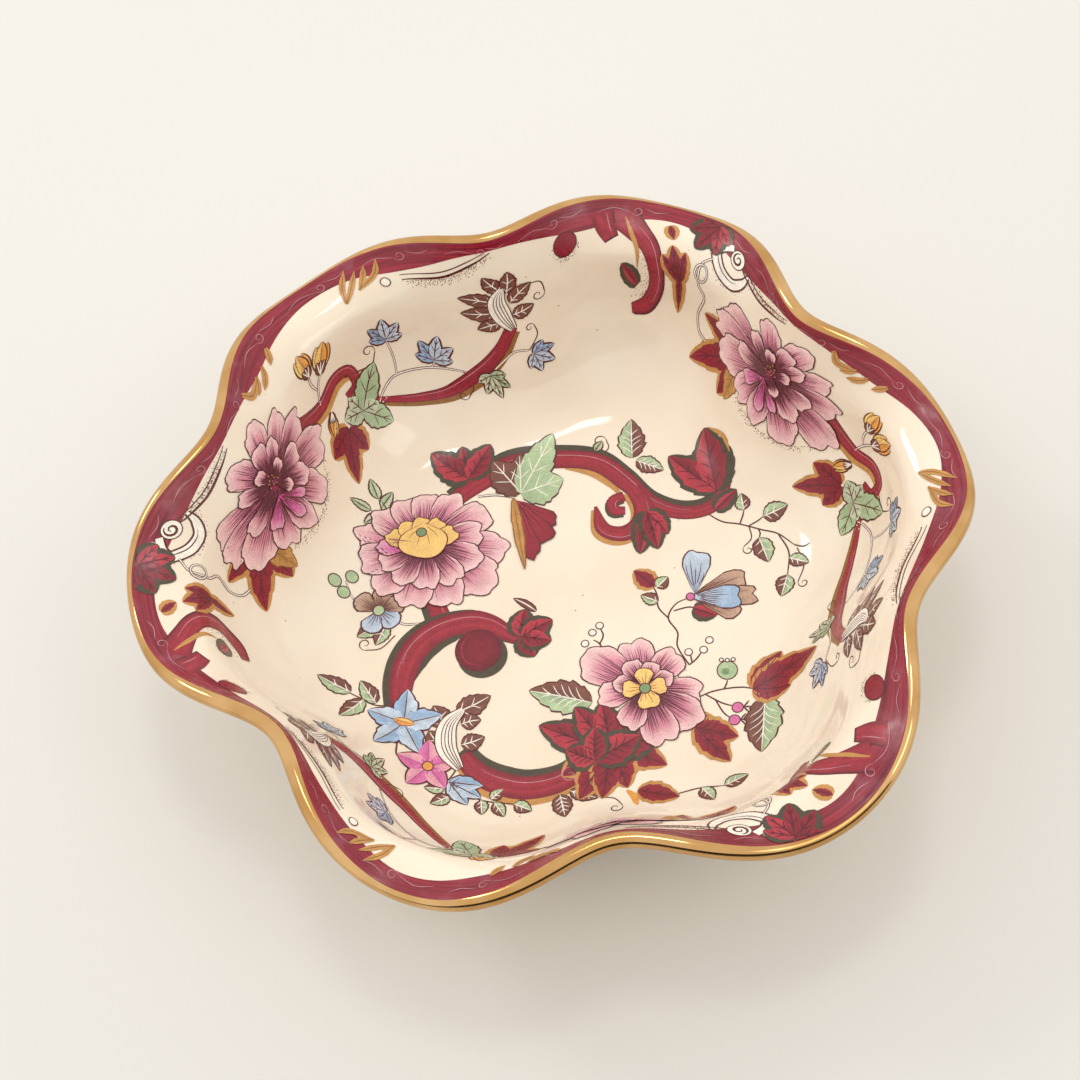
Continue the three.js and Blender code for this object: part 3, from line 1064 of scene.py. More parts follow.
@dataclass(frozen=True)
class GlazedCream(Surface):
    """Clear glossy glaze over warm cream porcelain: it pools a little, with a few iron specks."""

    name: str = "Glazed cream porcelain"
    pale: str = "#F8EBD7"
    deep: str = "#F2E1CA"

    def make(self) -> bpy.types.Material:
        """Builds the material."""
        material, tree, surface, where = self.start()
        # The glaze is a shade warmer where it pooled.
        body = self.ramp(tree, self.noise(tree, where, 38.0), (0.35, self.deep), (0.65, self.pale))
        # Iron specks, a quarter of a millimetre wide and some centimetres apart.
        cells = add_node(tree, "ShaderNodeTexVoronoi", inputs={"Vector": where, "Scale": 1 / (9 * MM)})
        speck = self.ramp(tree, cells.outputs["Distance"], (0.018, "#8C6A48"), (0.04, "#FFFFFF"))
        mixed = add_node(tree, "ShaderNodeMix", {"data_type": "RGBA", "blend_type": "MULTIPLY"})
        mixed.inputs[0].default_value = 0.75
        tree.links.new(body, mixed.inputs[6])
        tree.links.new(speck, mixed.inputs[7])
        tree.links.new(mixed.outputs[2], surface.inputs["Base Color"])
        surface.inputs["IOR"].default_value = 1.52
        surface.inputs["Subsurface Weight"].default_value = 0.12
        surface.inputs["Subsurface Radius"].default_value = (1.0, 0.7, 0.4)
        surface.inputs["Subsurface Scale"].default_value = 1.6 * MM
        rough = self.remap(tree, self.noise(tree, where, 6.0), 0.05, 0.11)
        tree.links.new(rough, surface.inputs["Roughness"])
        # Faint ripples left by the brushed-on glaze, seen only in reflections.
        ripple = self.bump(tree, self.noise(tree, where, 11.0, 1.0), 0.05)
        tree.links.new(ripple, surface.inputs["Normal"])
        return material


@dataclass(frozen=True)
class PrintedEnamel(Surface):
    """Overglaze enamels, printed and filled in by brush: a little grainy and less glossy."""

    name: str = "Printed overglaze enamel"

    def make(self) -> bpy.types.Material:
        """Builds the material."""
        material, tree, surface, where = self.start()
        ink = add_node(tree, "ShaderNodeVertexColor", {"layer_name": "Ink"}).outputs["Color"]
        # Pigment grain, and the wash that pools unevenly as it dries.
        grain = self.remap(tree, self.noise(tree, where, 0.45, 3.0), 0.8, 1.12)
        wash = self.remap(tree, self.noise(tree, where, 3.2), 0.9, 1.08)
        both = add_node(tree, "ShaderNodeMath", {"operation": "MULTIPLY"}, {0: grain, 1: wash}).outputs[0]
        colour = add_node(
            tree, "ShaderNodeVectorMath", {"operation": "SCALE"}, {0: ink, "Scale": both}
        ).outputs[0]
        tree.links.new(colour, surface.inputs["Base Color"])
        surface.inputs["IOR"].default_value = 1.5
        rough = self.remap(tree, self.noise(tree, where, 1.4), 0.22, 0.38)
        tree.links.new(rough, surface.inputs["Roughness"])
        tree.links.new(self.bump(tree, grain, 0.012), surface.inputs["Normal"])
        return material


@dataclass(frozen=True)
class InkDots(Surface):
    """Brown printing ink, laid as dots."""

    name: str = "Brown printing ink"
    tint: str = "#6A3226"

    def make(self) -> bpy.types.Material:
        """Builds the material."""
        material, tree, surface, where = self.start()
        patches = self.noise(tree, where, 2.5)
        colour = self.ramp(tree, patches, (0.35, self.tint), (0.7, "#8A4A38"))
        tree.links.new(colour, surface.inputs["Base Color"])
        surface.inputs["IOR"].default_value = 1.5
        surface.inputs["Roughness"].default_value = 0.35
        return material


@dataclass(frozen=True)
class WineGround(Surface):
    """The wine-red ground of the border, brushed on by hand along the rim."""

    name: str = "Brushed wine enamel"

    def make(self) -> bpy.types.Material:
        """Builds the material."""
        material, tree, surface, where = self.start()
        across = add_node(tree, "ShaderNodeAttribute", {"attribute_name": "Across"}).outputs["Fac"]
        # Streaks half a millimetre wide and some centimetres long, round the rim.
        ahead = add_node(
            tree, "ShaderNodeVectorMath", {"operation": "SCALE"}, {0: where, "Scale": 32.0}
        ).outputs[0]
        parts = add_node(tree, "ShaderNodeSeparateXYZ", inputs={0: ahead}).outputs
        fine = add_node(tree, "ShaderNodeMath", {"operation": "MULTIPLY"}, {0: across, 1: 260.0}).outputs[0]
        run = add_node(tree, "ShaderNodeCombineXYZ", inputs={0: parts[0], 1: parts[1], 2: fine}).outputs[0]
        streak = add_node(
            tree, "ShaderNodeTexNoise", inputs={"Vector": run, "Scale": 1.0, "Detail": 3.0}
        ).outputs[0]
        colour = self.ramp(tree, streak, (0.3, "#651525"), (0.5, "#8A1B2D"), (0.72, "#A82A3C"))
        # Dull purplish patches where the enamel fired thin.
        thin = self.ramp(tree, self.noise(tree, where, 7.0, 3.0), (0.55, "#000000"), (0.72, "#FFFFFF"))
        mixed = add_node(tree, "ShaderNodeMix", {"data_type": "RGBA"})
        patch = add_node(tree, "ShaderNodeMath", {"operation": "MULTIPLY"}, {0: thin, 1: 0.4}).outputs[0]
        tree.links.new(patch, mixed.inputs[0])
        tree.links.new(colour, mixed.inputs[6])
        mixed.inputs[7].default_value = rgba("#9C5566")
        tree.links.new(mixed.outputs[2], surface.inputs["Base Color"])
        surface.inputs["IOR"].default_value = 1.5
        rough = self.remap(tree, self.noise(tree, where, 5.0), 0.16, 0.42)
        tree.links.new(rough, surface.inputs["Roughness"])
        tree.links.new(self.bump(tree, streak, 0.03), surface.inputs["Normal"])
        return material


@dataclass(frozen=True)
class BrightGold(Surface):
    """Fired liquid bright gold: a mirror, worn duller in patches by handling."""

    name: str = "Fired bright gold"

    def make(self) -> bpy.types.Material:
        """Builds the material."""
        material, tree, surface, where = self.start()
        worn = self.noise(tree, where, 17.0, 3.0)
        colour = self.ramp(tree, worn, (0.35, "#D9B07A"), (0.65, "#C2945A"))
        tree.links.new(colour, surface.inputs["Base Color"])
        surface.inputs["Metallic"].default_value = 1.0
        rough = self.remap(tree, worn, 0.05, 0.16)
        tree.links.new(rough, surface.inputs["Roughness"])
        tree.links.new(self.bump(tree, self.noise(tree, where, 5.0, 2.0), 0.02), surface.inputs["Normal"])
        return material


@dataclass(frozen=True)
class BareBiscuit(Surface):
    """The unglazed foot that stood on the kiln shelf: dry, slightly grey and gritty."""

    name: str = "Bare fired porcelain"

    def make(self) -> bpy.types.Material:
        """Builds the material."""
        material, tree, surface, where = self.start()
        stain = self.noise(tree, where, 9.0, 4.0)
        colour = self.ramp(tree, stain, (0.3, "#D8C8AE"), (0.7, "#EADFCB"))
        tree.links.new(colour, surface.inputs["Base Color"])
        surface.inputs["IOR"].default_value = 1.5
        surface.inputs["Roughness"].default_value = 0.78
        tree.links.new(self.bump(tree, self.noise(tree, where, 0.5, 3.0), 0.04), surface.inputs["Normal"])
        return material


# ---- the printed sprays --------------------------------------------------------------


@dataclass
class Spray:
    """A printed spray: its drawing, and the flower heads that the sprays share."""

    drawing: Drawing

    def rosette(
        self, centre: Point, petals: Sequence[tuple[float, float, float]], kind: Petal, level: float,
        scallops: int = 4
    ) -> float:
        """Draws petals round a centre, each a heading, a length and a spread."""
        for order, (heading, length, spread) in enumerate(petals):
            self.drawing.petal(centre, heading, length, spread, kind, level + order * 1.5, scallops)
        return level + len(petals) * 1.5 + 2

    def cluster(
        self, base: Point, tips: Sequence[tuple[Point, float]], kind: Leaf, level: float, veins: int = 3
    ) -> None:
        """Draws leaves from one base, each over the one before, given each tip and width."""
        for order, (tip, width) in enumerate(tips):
            self.drawing.leaf(base, tip, width, kind, level + 0.8 * order, 0.08, veins)

    def acanthus(
        self, spine: Sequence[Point], lobes: Sequence[tuple[Point, Point, float]], level: float
    ) -> None:
        """Draws a white acanthus with curling brown leaflets."""
        line = smooth(spine, 0.9)
        u = np.linspace(0, 1, len(line))
        half = np.sin(math.pi * (0.12 + 0.8 * u)) * 3.1
        d = self.drawing
        for order, (base, tip, width) in enumerate(lobes):
            d.leaf(base, tip, width, Leaf.SHADED, level + 1.2 * order, 0.3 if order % 2 else -0.3, 2)
        d.ribbon(line, half + 0.35, half + 0.35, lambda a, b: Ink.LINE.colour, level + 10)
        d.ribbon(line, half, half, lambda a, b: Ink.WHITE.colour, level + 11)
        for share in (-0.62, -0.3, 0.05, 0.4):
            d.stroke(line + left_of(line) * (half * share)[:, None], 0.3, Ink.LINE, level + 12, (1, 0.1))

    def vine(self, path: Sequence[Point], level: float, width: float = 0.9) -> None:
        """Draws a thin hollow stem."""
        self.drawing.double_stroke(path, width, level)

    def tendril(self, path: Sequence[Point], level: float, turn: float = 1.0, loop: float = 2.2) -> None:
        """Draws a fine stem that ends in a curl."""
        line = smooth(path, 1.0)
        self.drawing.stroke(line, 0.4, Ink.LINE, level, (1.0, 0.8))
        ahead = line[-1] - line[-2]
        heading = math.degrees(math.atan2(ahead[1], ahead[0]))
        side = heading + 90 * turn
        centre = line[-1] + heading_vector(side) * loop
        self.drawing.curl(tuple(centre), loop, 1.1 * turn, side + 180, level, 0.4)


@dataclass
class CentreSpray(Spray):
    """The spray on the floor of the bowl, in millimetres from its middle."""

    def draw(self) -> None:
        """Draws it from the back to the front."""
        self.scrolls()
        self.twigs()
        self.leaves()
        self.small_flowers()
        self.cup_peony()
        self.open_rose()

    def scrolls(self) -> None:
        """The wine scrolls that carry the spray."""
        d = self.drawing
        upper = [
            (-38.4, 39.8), (-29.7, 47), (-18.3, 53.6), (-1.4, 54.8), (9.4, 52.6), (18, 45.4), (25.6, 37.6)
        ]
        upper += [(34, 33.6), (42, 33.6), (48, 37.4), (50.4, 45)]
        d.scroll(upper, (5.6, 7, 7.6, 7, 6.8, 7, 6.6, 5.6, 5, 4.6, 3.6), 2, (-0.3, 2.0))
        d.stroke([(-2, 51.4), (6, 49.6), (13, 44.6), (16, 41)], 2.6, Ink.GOLD, 1, (0.3, 0.6))
        curl = [(20, 43), (23.6, 36), (22.4, 29.4), (17, 26), (10.8, 28.2), (8.2, 36.4)]
        d.scroll(curl, (5, 6.4, 6.2, 5.6, 4.6, 1), 5, (-0.9, -1.4), Ink.GOLD)
        d.scroll(
            [(17.4, 40), (14, 38.4), (14.4, 34.8), (17.8, 34.6)], (3.6, 4, 3.8, 3), 7, (-0.5, -0.9),
            Ink.OLIVE
        )
        self.cluster(
            (24.6, 34), (((22.6, 18.4), 6.2), ((31.6, 25.4), 6.4), ((28.4, 20), 6.2)), Leaf.WINE, 8, 2
        )
        d.scroll([(-44, 18), (-43, 8), (-40.6, 0), (-38, -6)], (5, 5.4, 6, 6.4), 1, (-2.0, -0.2))
        lower = [(-50.7, -34.5), (-50.6, -24.2), (-48.2, -15.6), (-43.4, -9.4), (-37, -5.8), (-30, -4.6)]
        lower += [(-23.4, -5.8), (-17.4, -9.4), (-12, -11.2), (-8, -9.6)]
        d.scroll(lower, (5.6, 7.6, 8.6, 8.8, 8.4, 8, 8.4, 6, 4.4, 4), 3, (-2.0, 0.3))
        d.scroll(lower[1:6], (3, 7.6, 8.4, 7.6, 3), 2, (1.7, -1.6))
        self.ball((-27.2, -14.6), 7.4, 5)
        tips = (((-13.4, -0.4), 7.6), ((-9.6, -17.4), 6.4), ((-4.4, -4.4), 7), ((-4.4, -11.8), 7))
        self.cluster((-14, -10.2), tips, Leaf.WINE, 9, 2)
        d.leaf((-9.6, -1.2), (-17, 3.6), 2.4, Leaf.SHADED, 7, -0.3, 0)
        rise = [
            (-30.6, -50.5), (-24.8, -56.9), (-17, -60.5), (-9.5, -61.6), (-0.5, -59.6), (6.9, -54.3),
            (12.4, -48)
        ]
        d.scroll(rise, (5.4, 7.2, 7.8, 7.8, 7.4, 7, 6), 2, (0.5, 2.1))
        d.scroll(rise, (4, 6.6, 7.6, 7.6, 7.2, 6, 4), 0, (-0.4, -2.2), Ink.GOLD)
        d.curl((2.4, -57.6), 2.8, 1.2, 60, 7, 0.24, Ink.SCRATCH)
        d.stroke([(19.8, -63.8), (22, -66.4), (23.3, -70.5)], 2.2, Ink.ORANGE, 1)
        # The pointed ends of the scrolls.
        self.cluster((47, 40.6), (((50.8, 54), 7), ((31.6, 54.6), 10), ((43.4, 62), 11)), Leaf.WINE, 6)
        d.stroke([(44.6, 61.8), (49.4, 57.4), (51.6, 51.6)], 1.1, Ink.GOLD, 10, (0.2, 0.2))
        d.leaf((46.4, 33.6), (53.4, 40), 4.2, Leaf.WINE, 6, 0.1, 0)
        tips = (((-42.6, 50.4), 6), ((-36, 60.4), 6.6), ((-46, 57.8), 9.6), ((-26.6, 61), 8.4))
        self.cluster((-33.4, 48.6), tips, Leaf.WINE, 6)

    def ball(self, centre: Point, radius: float, level: float) -> None:
        """The solid round curl of a scroll, with its shadow."""
        x, y = centre
        around = np.linspace(0, 2 * math.pi, 49)
        circle = np.stack([np.cos(around), np.sin(around)], -1)
        rings = np.linspace(0, 1, 8)
        for shift, size, ink in (((1.4, -1.9), radius + 0.4, Ink.OLIVE), ((0.0, 0.0), radius, Ink.WINE)):
            middle = np.array([x + shift[0], y + shift[1]])
            points = middle + circle[:, None, :] * (rings * size)[None, :, None]
            depth = np.broadcast_to(0.3 + 0.6 * rings[None, :] ** 3, points.shape[:2])
            tint = blend(ink.colour, Ink.WINE_DARK.colour if ink is Ink.WINE else ink.colour, depth)
            self.drawing.sheet(points, tint, level)
            level += 1
        path = [(x - 3, y + 6.4), (x - 5.4, y + 1), (x - 3.6, y - 4), (x + 1, y - 5.4)]
        self.drawing.stroke(path, 0.3, Ink.WINE_LIGHT, level + 1)

    def twigs(self) -> None:
        """Fine stems, tendrils and berries."""
        d = self.drawing
        for path in (
            [(43.4, 33), (48.6, 29.4), (54.2, 28.2), (61.2, 25.7), (66.2, 23.8), (71.3, 19.1)],
            [(54.2, 28.2), (55.2, 31.2), (55.6, 33)], [(57, 27.4), (60, 29), (61.6, 30.2)],
            [(60, 26), (60.6, 24.6), (60.2, 23)], [(66.2, 23.8), (69.4, 17), (68.8, 9)],
            [(71.3, 19.1), (74, 18), (76, 18.6)],
            [(38.2, -21.4), (34.6, -15), (34.6, -10), (31.7, -4.9), (34, 0), (38.4, 2.2)],
            [(31.7, -4.9), (28.6, -1), (28, 4), (26, 8)], [(33.4, -2.4), (38, -1.2), (41, -2)],
            [(12.2, -17.3), (10.6, -13.4), (8.6, -12)], [(10.6, -13.4), (11.6, -10.4), (10.6, -8)],
            [(38.2, -21.4), (40.4, -19.4), (42, -17)], [(39, -20.4), (38.6, -18)],
            [(40, -33), (46, -30.5), (54, -29.6), (60, -31.4)], [(48.6, -30), (49.4, -28.6), (49.8, -27)],
            [(43, -31.6), (48, -34.6), (52, -36)], [(46, -33.4), (48.6, -38), (51, -40)],
            [(-50.7, -33), (-58, -33.4), (-63, -31), (-68, -28.6)],
            [(-52.4, -40.6), (-50.2, -46), (-49.4, -52.6), (-44, -54)],
            [(-31, -53), (-33, -57), (-35, -59.9)], [(-30, -62), (-24, -65.6), (-14, -67)],
            [(33, -66.4), (41.6, -64), (48.9, -64.3)],
        ):
            d.stroke(path, 0.5, Ink.LINE, 1, (0.9, 0.6))
        self.vine([(-66, 2), (-69, 6), (-70.4, 10)], 0, 0.6)
        self.vine([(-57, 0.6), (-52, -4.4), (-46, -4.6)], 0, 0.9)
        self.vine([(-18, 40.8), (-24, 42), (-30, 41.6)], 8, 0.9)
        self.tendril([(6, 54.5), (11.8, 58.1), (11.2, 62)], 1, 1.0)
        self.tendril([(57, 27.6), (57.8, 23), (55.4, 20)], 1, 1.0, 1.8)
        self.tendril([(12, -66.2), (16.4, -67.2), (18.9, -70.4)], 1, -1.0)
        self.tendril([(72, 18), (74, 12), (72, 6)], 1, 1.0, 1.8)
        self.tendril([(-53.8, -8.6), (-58, -13), (-63, -13.6)], 1, -1.0)
        berries = ((42.6, -16.3), (44.4, -13), (38, -17), (8.2, -9.4), (6, -13.2), (10.4, -7))
        for berry in berries:
            d.dot(berry, 1.35, Ink.WHITE, 3)
        for berry in ((52.8, -36.4), (51.8, -40.6)):
            d.dot(berry, 1.9, Ink.PINK, 3)
            x, y = berry
            for turn in (-30, 0, 30):
                end = np.array(berry) + heading_vector(turn) * 4
                d.stroke([(x + 1.8, y), (float(end[0]), float(end[1]))], 0.5, Ink.LINE, 5)
        for berry in ((-68.6, 11.5), (-70.9, 6.2), (-73.6, 9.4)):
            d.dot(berry, 2.1, Ink.GREEN, 3)
        d.dot((49.8, -23.6), 3.3, Ink.GREEN, 3)
        d.dot((49.2, -24), 1.2, Ink.GREEN_DEEP, 5, Ink.GREEN_DEEP)
        for shift in (-1.8, 0, 1.8):
            d.dot((49.8 + shift, -20.2 + abs(shift) * 0.1), 0.8, Ink.WHITE, 5)

    def leaves(self) -> None:
        """The leaves, from the top down."""
        d = self.drawing
        d.sprig([(-52, 34), (-59.7, 36), (-62, 40)], 6.8, 2)
        d.sprig([(-56, 34.4), (-61, 34.6), (-64, 35.4)], 6.4, 2)
        d.lobed_leaf(
            (-16, 42.4), 66, 24, Leaf.HALF_SHADED, 9,
            ((62, 0.66, 0.52), (-46, 0.6, 0.6), (28, 0.62, 0.4), (0, 1, 0.5))
        )
        d.leaf((19.8, 54.5), (19.4, 69), 9.4, Leaf.HALF_SHADED, 4, 0.14)
        d.leaf((21.1, 53.5), (30, 49.4), 6.6, Leaf.HALF_SHADED, 4)
        d.leaf((7.6, 57.8), (10, 61.4), 3, Leaf.GREEN, 4, 0, 1)
        for order, (turn, length, spread) in enumerate(((-36, 15.6, 15), (-54, 19, 14), (-74, 22.6, 11))):
            d.petal((-17.4, 39.6), turn, length, spread, Petal.WINE, 24 + 1.5 * order, 3)
        d.leaf((-18.4, 40.4), (-13.6, 13.6), 3.4, Leaf.GILT, 30, -0.1, 0)
        d.leaf((27.4, 6.4), (20.8, 12.4), 6.2, Leaf.WINE_GILT, 5, 0, 1)
        d.leaf((28, 6), (31.6, 9.8), 4.6, Leaf.HALF_SHADED, 5, 0, 1)
        d.leaf((28.6, 1), (23, 3.4), 4.4, Leaf.HALF_SHADED, 5, 0, 1)
        d.leaf((39.4, -1.6), (46.8, -4.4), 5, Leaf.WINE, 5, 0, 0)
        d.leaf((8.6, -33.6), (-11, -29), 12, Leaf.HALF_SHADED, 5, -0.12, 5)
        lower = (
            ((0, -58), 10), ((31.6, -55), 10), ((5.6, -66.6), 11), ((20, -63), 10.6), ((12.6, -67), 10)
        )
        self.cluster((14.6, -47.4), lower, Leaf.WINE_GILT, 5, 4)
        upper = (
            ((29.4, -44.6), 10), ((-7.4, -41), 11), ((20, -37), 10), ((3.4, -35), 10), ((11.6, -33.4), 10)
        )
        self.cluster((15, -50), upper, Leaf.WINE, 10, 4)
        self.cluster((10, -53), (((23.4, -45), 11), ((1, -49.4), 8.6), ((9.6, -42), 8)), Leaf.WINE, 16, 4)
        d.leaf((23, -64), (35.6, -67), 8, Leaf.WINE_GILT, 4, 0, 2)
        self.cluster(
            (40, -42.6), (((46.4, -40), 6.6), ((50.6, -55), 7.8), ((53, -46.4), 8.4)), Leaf.WINE_GILT, 6
        )
        self.cluster(
            (57.4, -30.6), (((66.4, -19.4), 8), ((69, -33), 8), ((77, -23.6), 10.6)), Leaf.WINE_GILT, 5
        )
        d.leaf((61.1, -34), (59.8, -53.6), 12.6, Leaf.HALF_SHADED, 3, 0.1, 5)
        d.leaf((-0.3, -64.2), (1.9, -73), 6.4, Leaf.SHADED, 4)
        d.leaf((2.6, -63), (11.4, -66.6), 5, Leaf.SHADED, 4)
        for base, tip, width in (
            ((-66, -29), (-76.4, -24.2), 6.4), ((-62, -31.4), (-67.8, -39.8), 6.4),
            ((-58, -32.6), (-63.6, -24.4), 5.6),
            ((-59, -4), (-66, -9), 6), ((-57, -4.6), (-59.8, -12), 5.6),
            ((-33.4, -64.6), (-38.6, -68.4), 4.4),
            ((-35, -62), (-41, -62.4), 4.2), ((-24, -65.6), (-23.4, -71), 4.2),
            ((-20, -66.4), (-16.6, -71.6), 4.2),
            ((-14, -67), (-8.4, -69.6), 4.6), ((-21, -65.4), (-17.4, -61.8), 3.8),
            ((48.9, -64.3), (56, -61.4), 5),
            ((42, -64), (46, -70), 5), ((55.6, 33), (54.8, 38.6), 4.8), ((61.6, 30.2), (69.6, 32.4), 6.4),
            ((60.2, 23), (63, 14), 7), ((68.8, 9), (66.6, 1.4), 6), ((69.4, 15), (75.6, 12), 4.6),
        ):
            d.leaf(base, tip, width, Leaf.HALF_SHADED, 3, 0.08, 2)
        self.acanthus(
            [(-31, -55), (-35.4, -48), (-35.4, -40.4), (-31, -35)],
            (
                ((-36.4, -41), (-40.4, -33.4), 7.4), ((-37, -47.4), (-41.2, -42), 6.4),
                ((-33, -36), (-22.6, -30.4), 8),
                ((-31.4, -40), (-25.2, -38.6), 5.6), ((-31, -47), (-23.8, -44.4), 6),
            ),
            4,
        )

    def small_flowers(self) -> None:
        """The blue and pink heads round the edge of the spray."""
        d = self.drawing
        base = (38.6, 2.4)
        self.rosette(base, [(22, 18.4, 16), (-22, 16.4, 15), (0, 20.6, 13)], Petal.STIPPLED, 4, 2)
        d.petal(base, -2, 15.6, 21, Petal.TULIP, 9, 2)
        d.petal((40, 3.4), 88, 15.4, 22, Petal.BLUE, 9, 2)
        d.dot(base, 1.5, Ink.PINK, 13)
        self.rosette((-59.6, 0.4), [(150, 8.6, 32), (80, 7.8, 34), (20, 7.8, 34)], Petal.STIPPLED, 6, 2)
        self.rosette((-59.6, 0.4), [(-40, 8, 34), (-110, 8.2, 34)], Petal.BLUE, 10, 2)
        d.dot((-59.6, 0.4), 2.0, Ink.GREEN, 15)
        for turn in (160, 88, 14, -62, 232):
            tip = np.array((-49, -39.6)) + heading_vector(turn) * 12
            d.leaf((-49, -39.6), tip, 8.6, Leaf.BLUE, 8 + 0.6 * (turn % 3), 0, 0)
        d.leaf((-52, -38.6), (-45.6, -40), 3, Leaf.CORE, 13, 0, 1)
        for turn in (20, 92, 164, 236, 308):
            tip = np.array((-40.6, -54.6)) + heading_vector(turn) * 9.4
            d.leaf((-40.6, -54.6), tip, 7, Leaf.ROSE, 8 + 0.6 * (turn % 3), 0, 1)
        d.dot((-40.6, -54.6), 1.8, Ink.ORANGE, 13)
        for turn, length in ((-6, 10.4), (-52, 10), (-28, 11.4)):
            tip = np.array((-34, -59.6)) + heading_vector(turn) * length
            d.leaf((-34, -59.6), tip, 6, Leaf.BLUE, 6 + 0.5 * (turn % 2), 0, 1)

    def cup_peony(self) -> None:
        """The large peony, whose yellow cup opens towards the left."""
        heart = (-46.4, 24.4)
        outer = [
            (-8, 27, 20), (-36, 28.5, 21), (-66, 25, 20), (-98, 23.6, 21), (-130, 22.6, 21),
            (-158, 21.6, 20)
        ]
        upper = [
            (176, 21.6, 19), (148, 19.6, 21), (120, 18.6, 20), (92, 18.8, 20), (62, 20.6, 20),
            (30, 23.4, 20)
        ]
        level = self.rosette(heart, upper, Petal.BLUSH, 6, 3)
        level = self.rosette(heart, outer, Petal.PINK, level - 2, 4)
        inner = [
            (12, 19, 21), (-22, 20, 21), (-52, 18.4, 20), (-84, 17, 21), (-118, 16.6, 21), (-150, 16, 20)
        ]
        level = self.rosette(heart, inner, Petal.PINK, level, 4)
        self.drawing.petal(heart, 188, 15.4, 15, Petal.MAGENTA, level, 3)
        level += 3
        base = (-47.4, 20.6)
        back = [(146, 13.4, 19), (118, 13.4, 18), (92, 13.6, 18), (66, 13.8, 18), (38, 13.8, 19)]
        level = self.rosette(base, back, Petal.CUP, level, 2)
        self.drawing.petal((-47, 31.6), -88, 12.6, 56, Petal.CUP_FRONT, level, 1, 0.02)
        self.drawing.dot((-47.6, 28.4), 1.8, Ink.GREEN_DEEP, level + 3)
        self.drawing.zone([(-58, 25), (-54, 18.6), (-46, 16.8), (-38, 18.8), (-34, 25)], 7, 0.5, 1.5)

    def open_rose(self) -> None:
        """The open rose on the right, six broad petals round a four-part heart."""
        heart = (24.8, -29.4)
        back = [(104, 17.4, 27), (52, 15.8, 26), (148, 22.6, 24), (-8, 17.4, 25), (190, 14.6, 24)]
        level = self.rosette(heart, back, Petal.BLUSH, 12, 4)
        front = [(-36, 20.4, 24), (-72, 19.6, 24), (-112, 14.4, 25)]
        level = self.rosette(heart, front, Petal.PINK, level, 4)
        inner = [(120, 11, 24), (76, 9.4, 24), (30, 9.4, 26), (166, 10, 24)]
        level = self.rosette(heart, inner, Petal.PINK, level - 1, 3)
        level = self.rosette(
            heart, [(96, 7, 34), (10, 6.6, 36), (182, 7, 34), (-74, 7, 42)], Petal.CUP_FRONT, level - 1, 2
        )
        self.drawing.dot(heart, 1.9, Ink.GREEN_DEEP, level)
        self.drawing.zone([(14.4, -30), (18, -23), (25, -20.6), (32, -23.6), (35, -30)], 6, 0.6, 2)


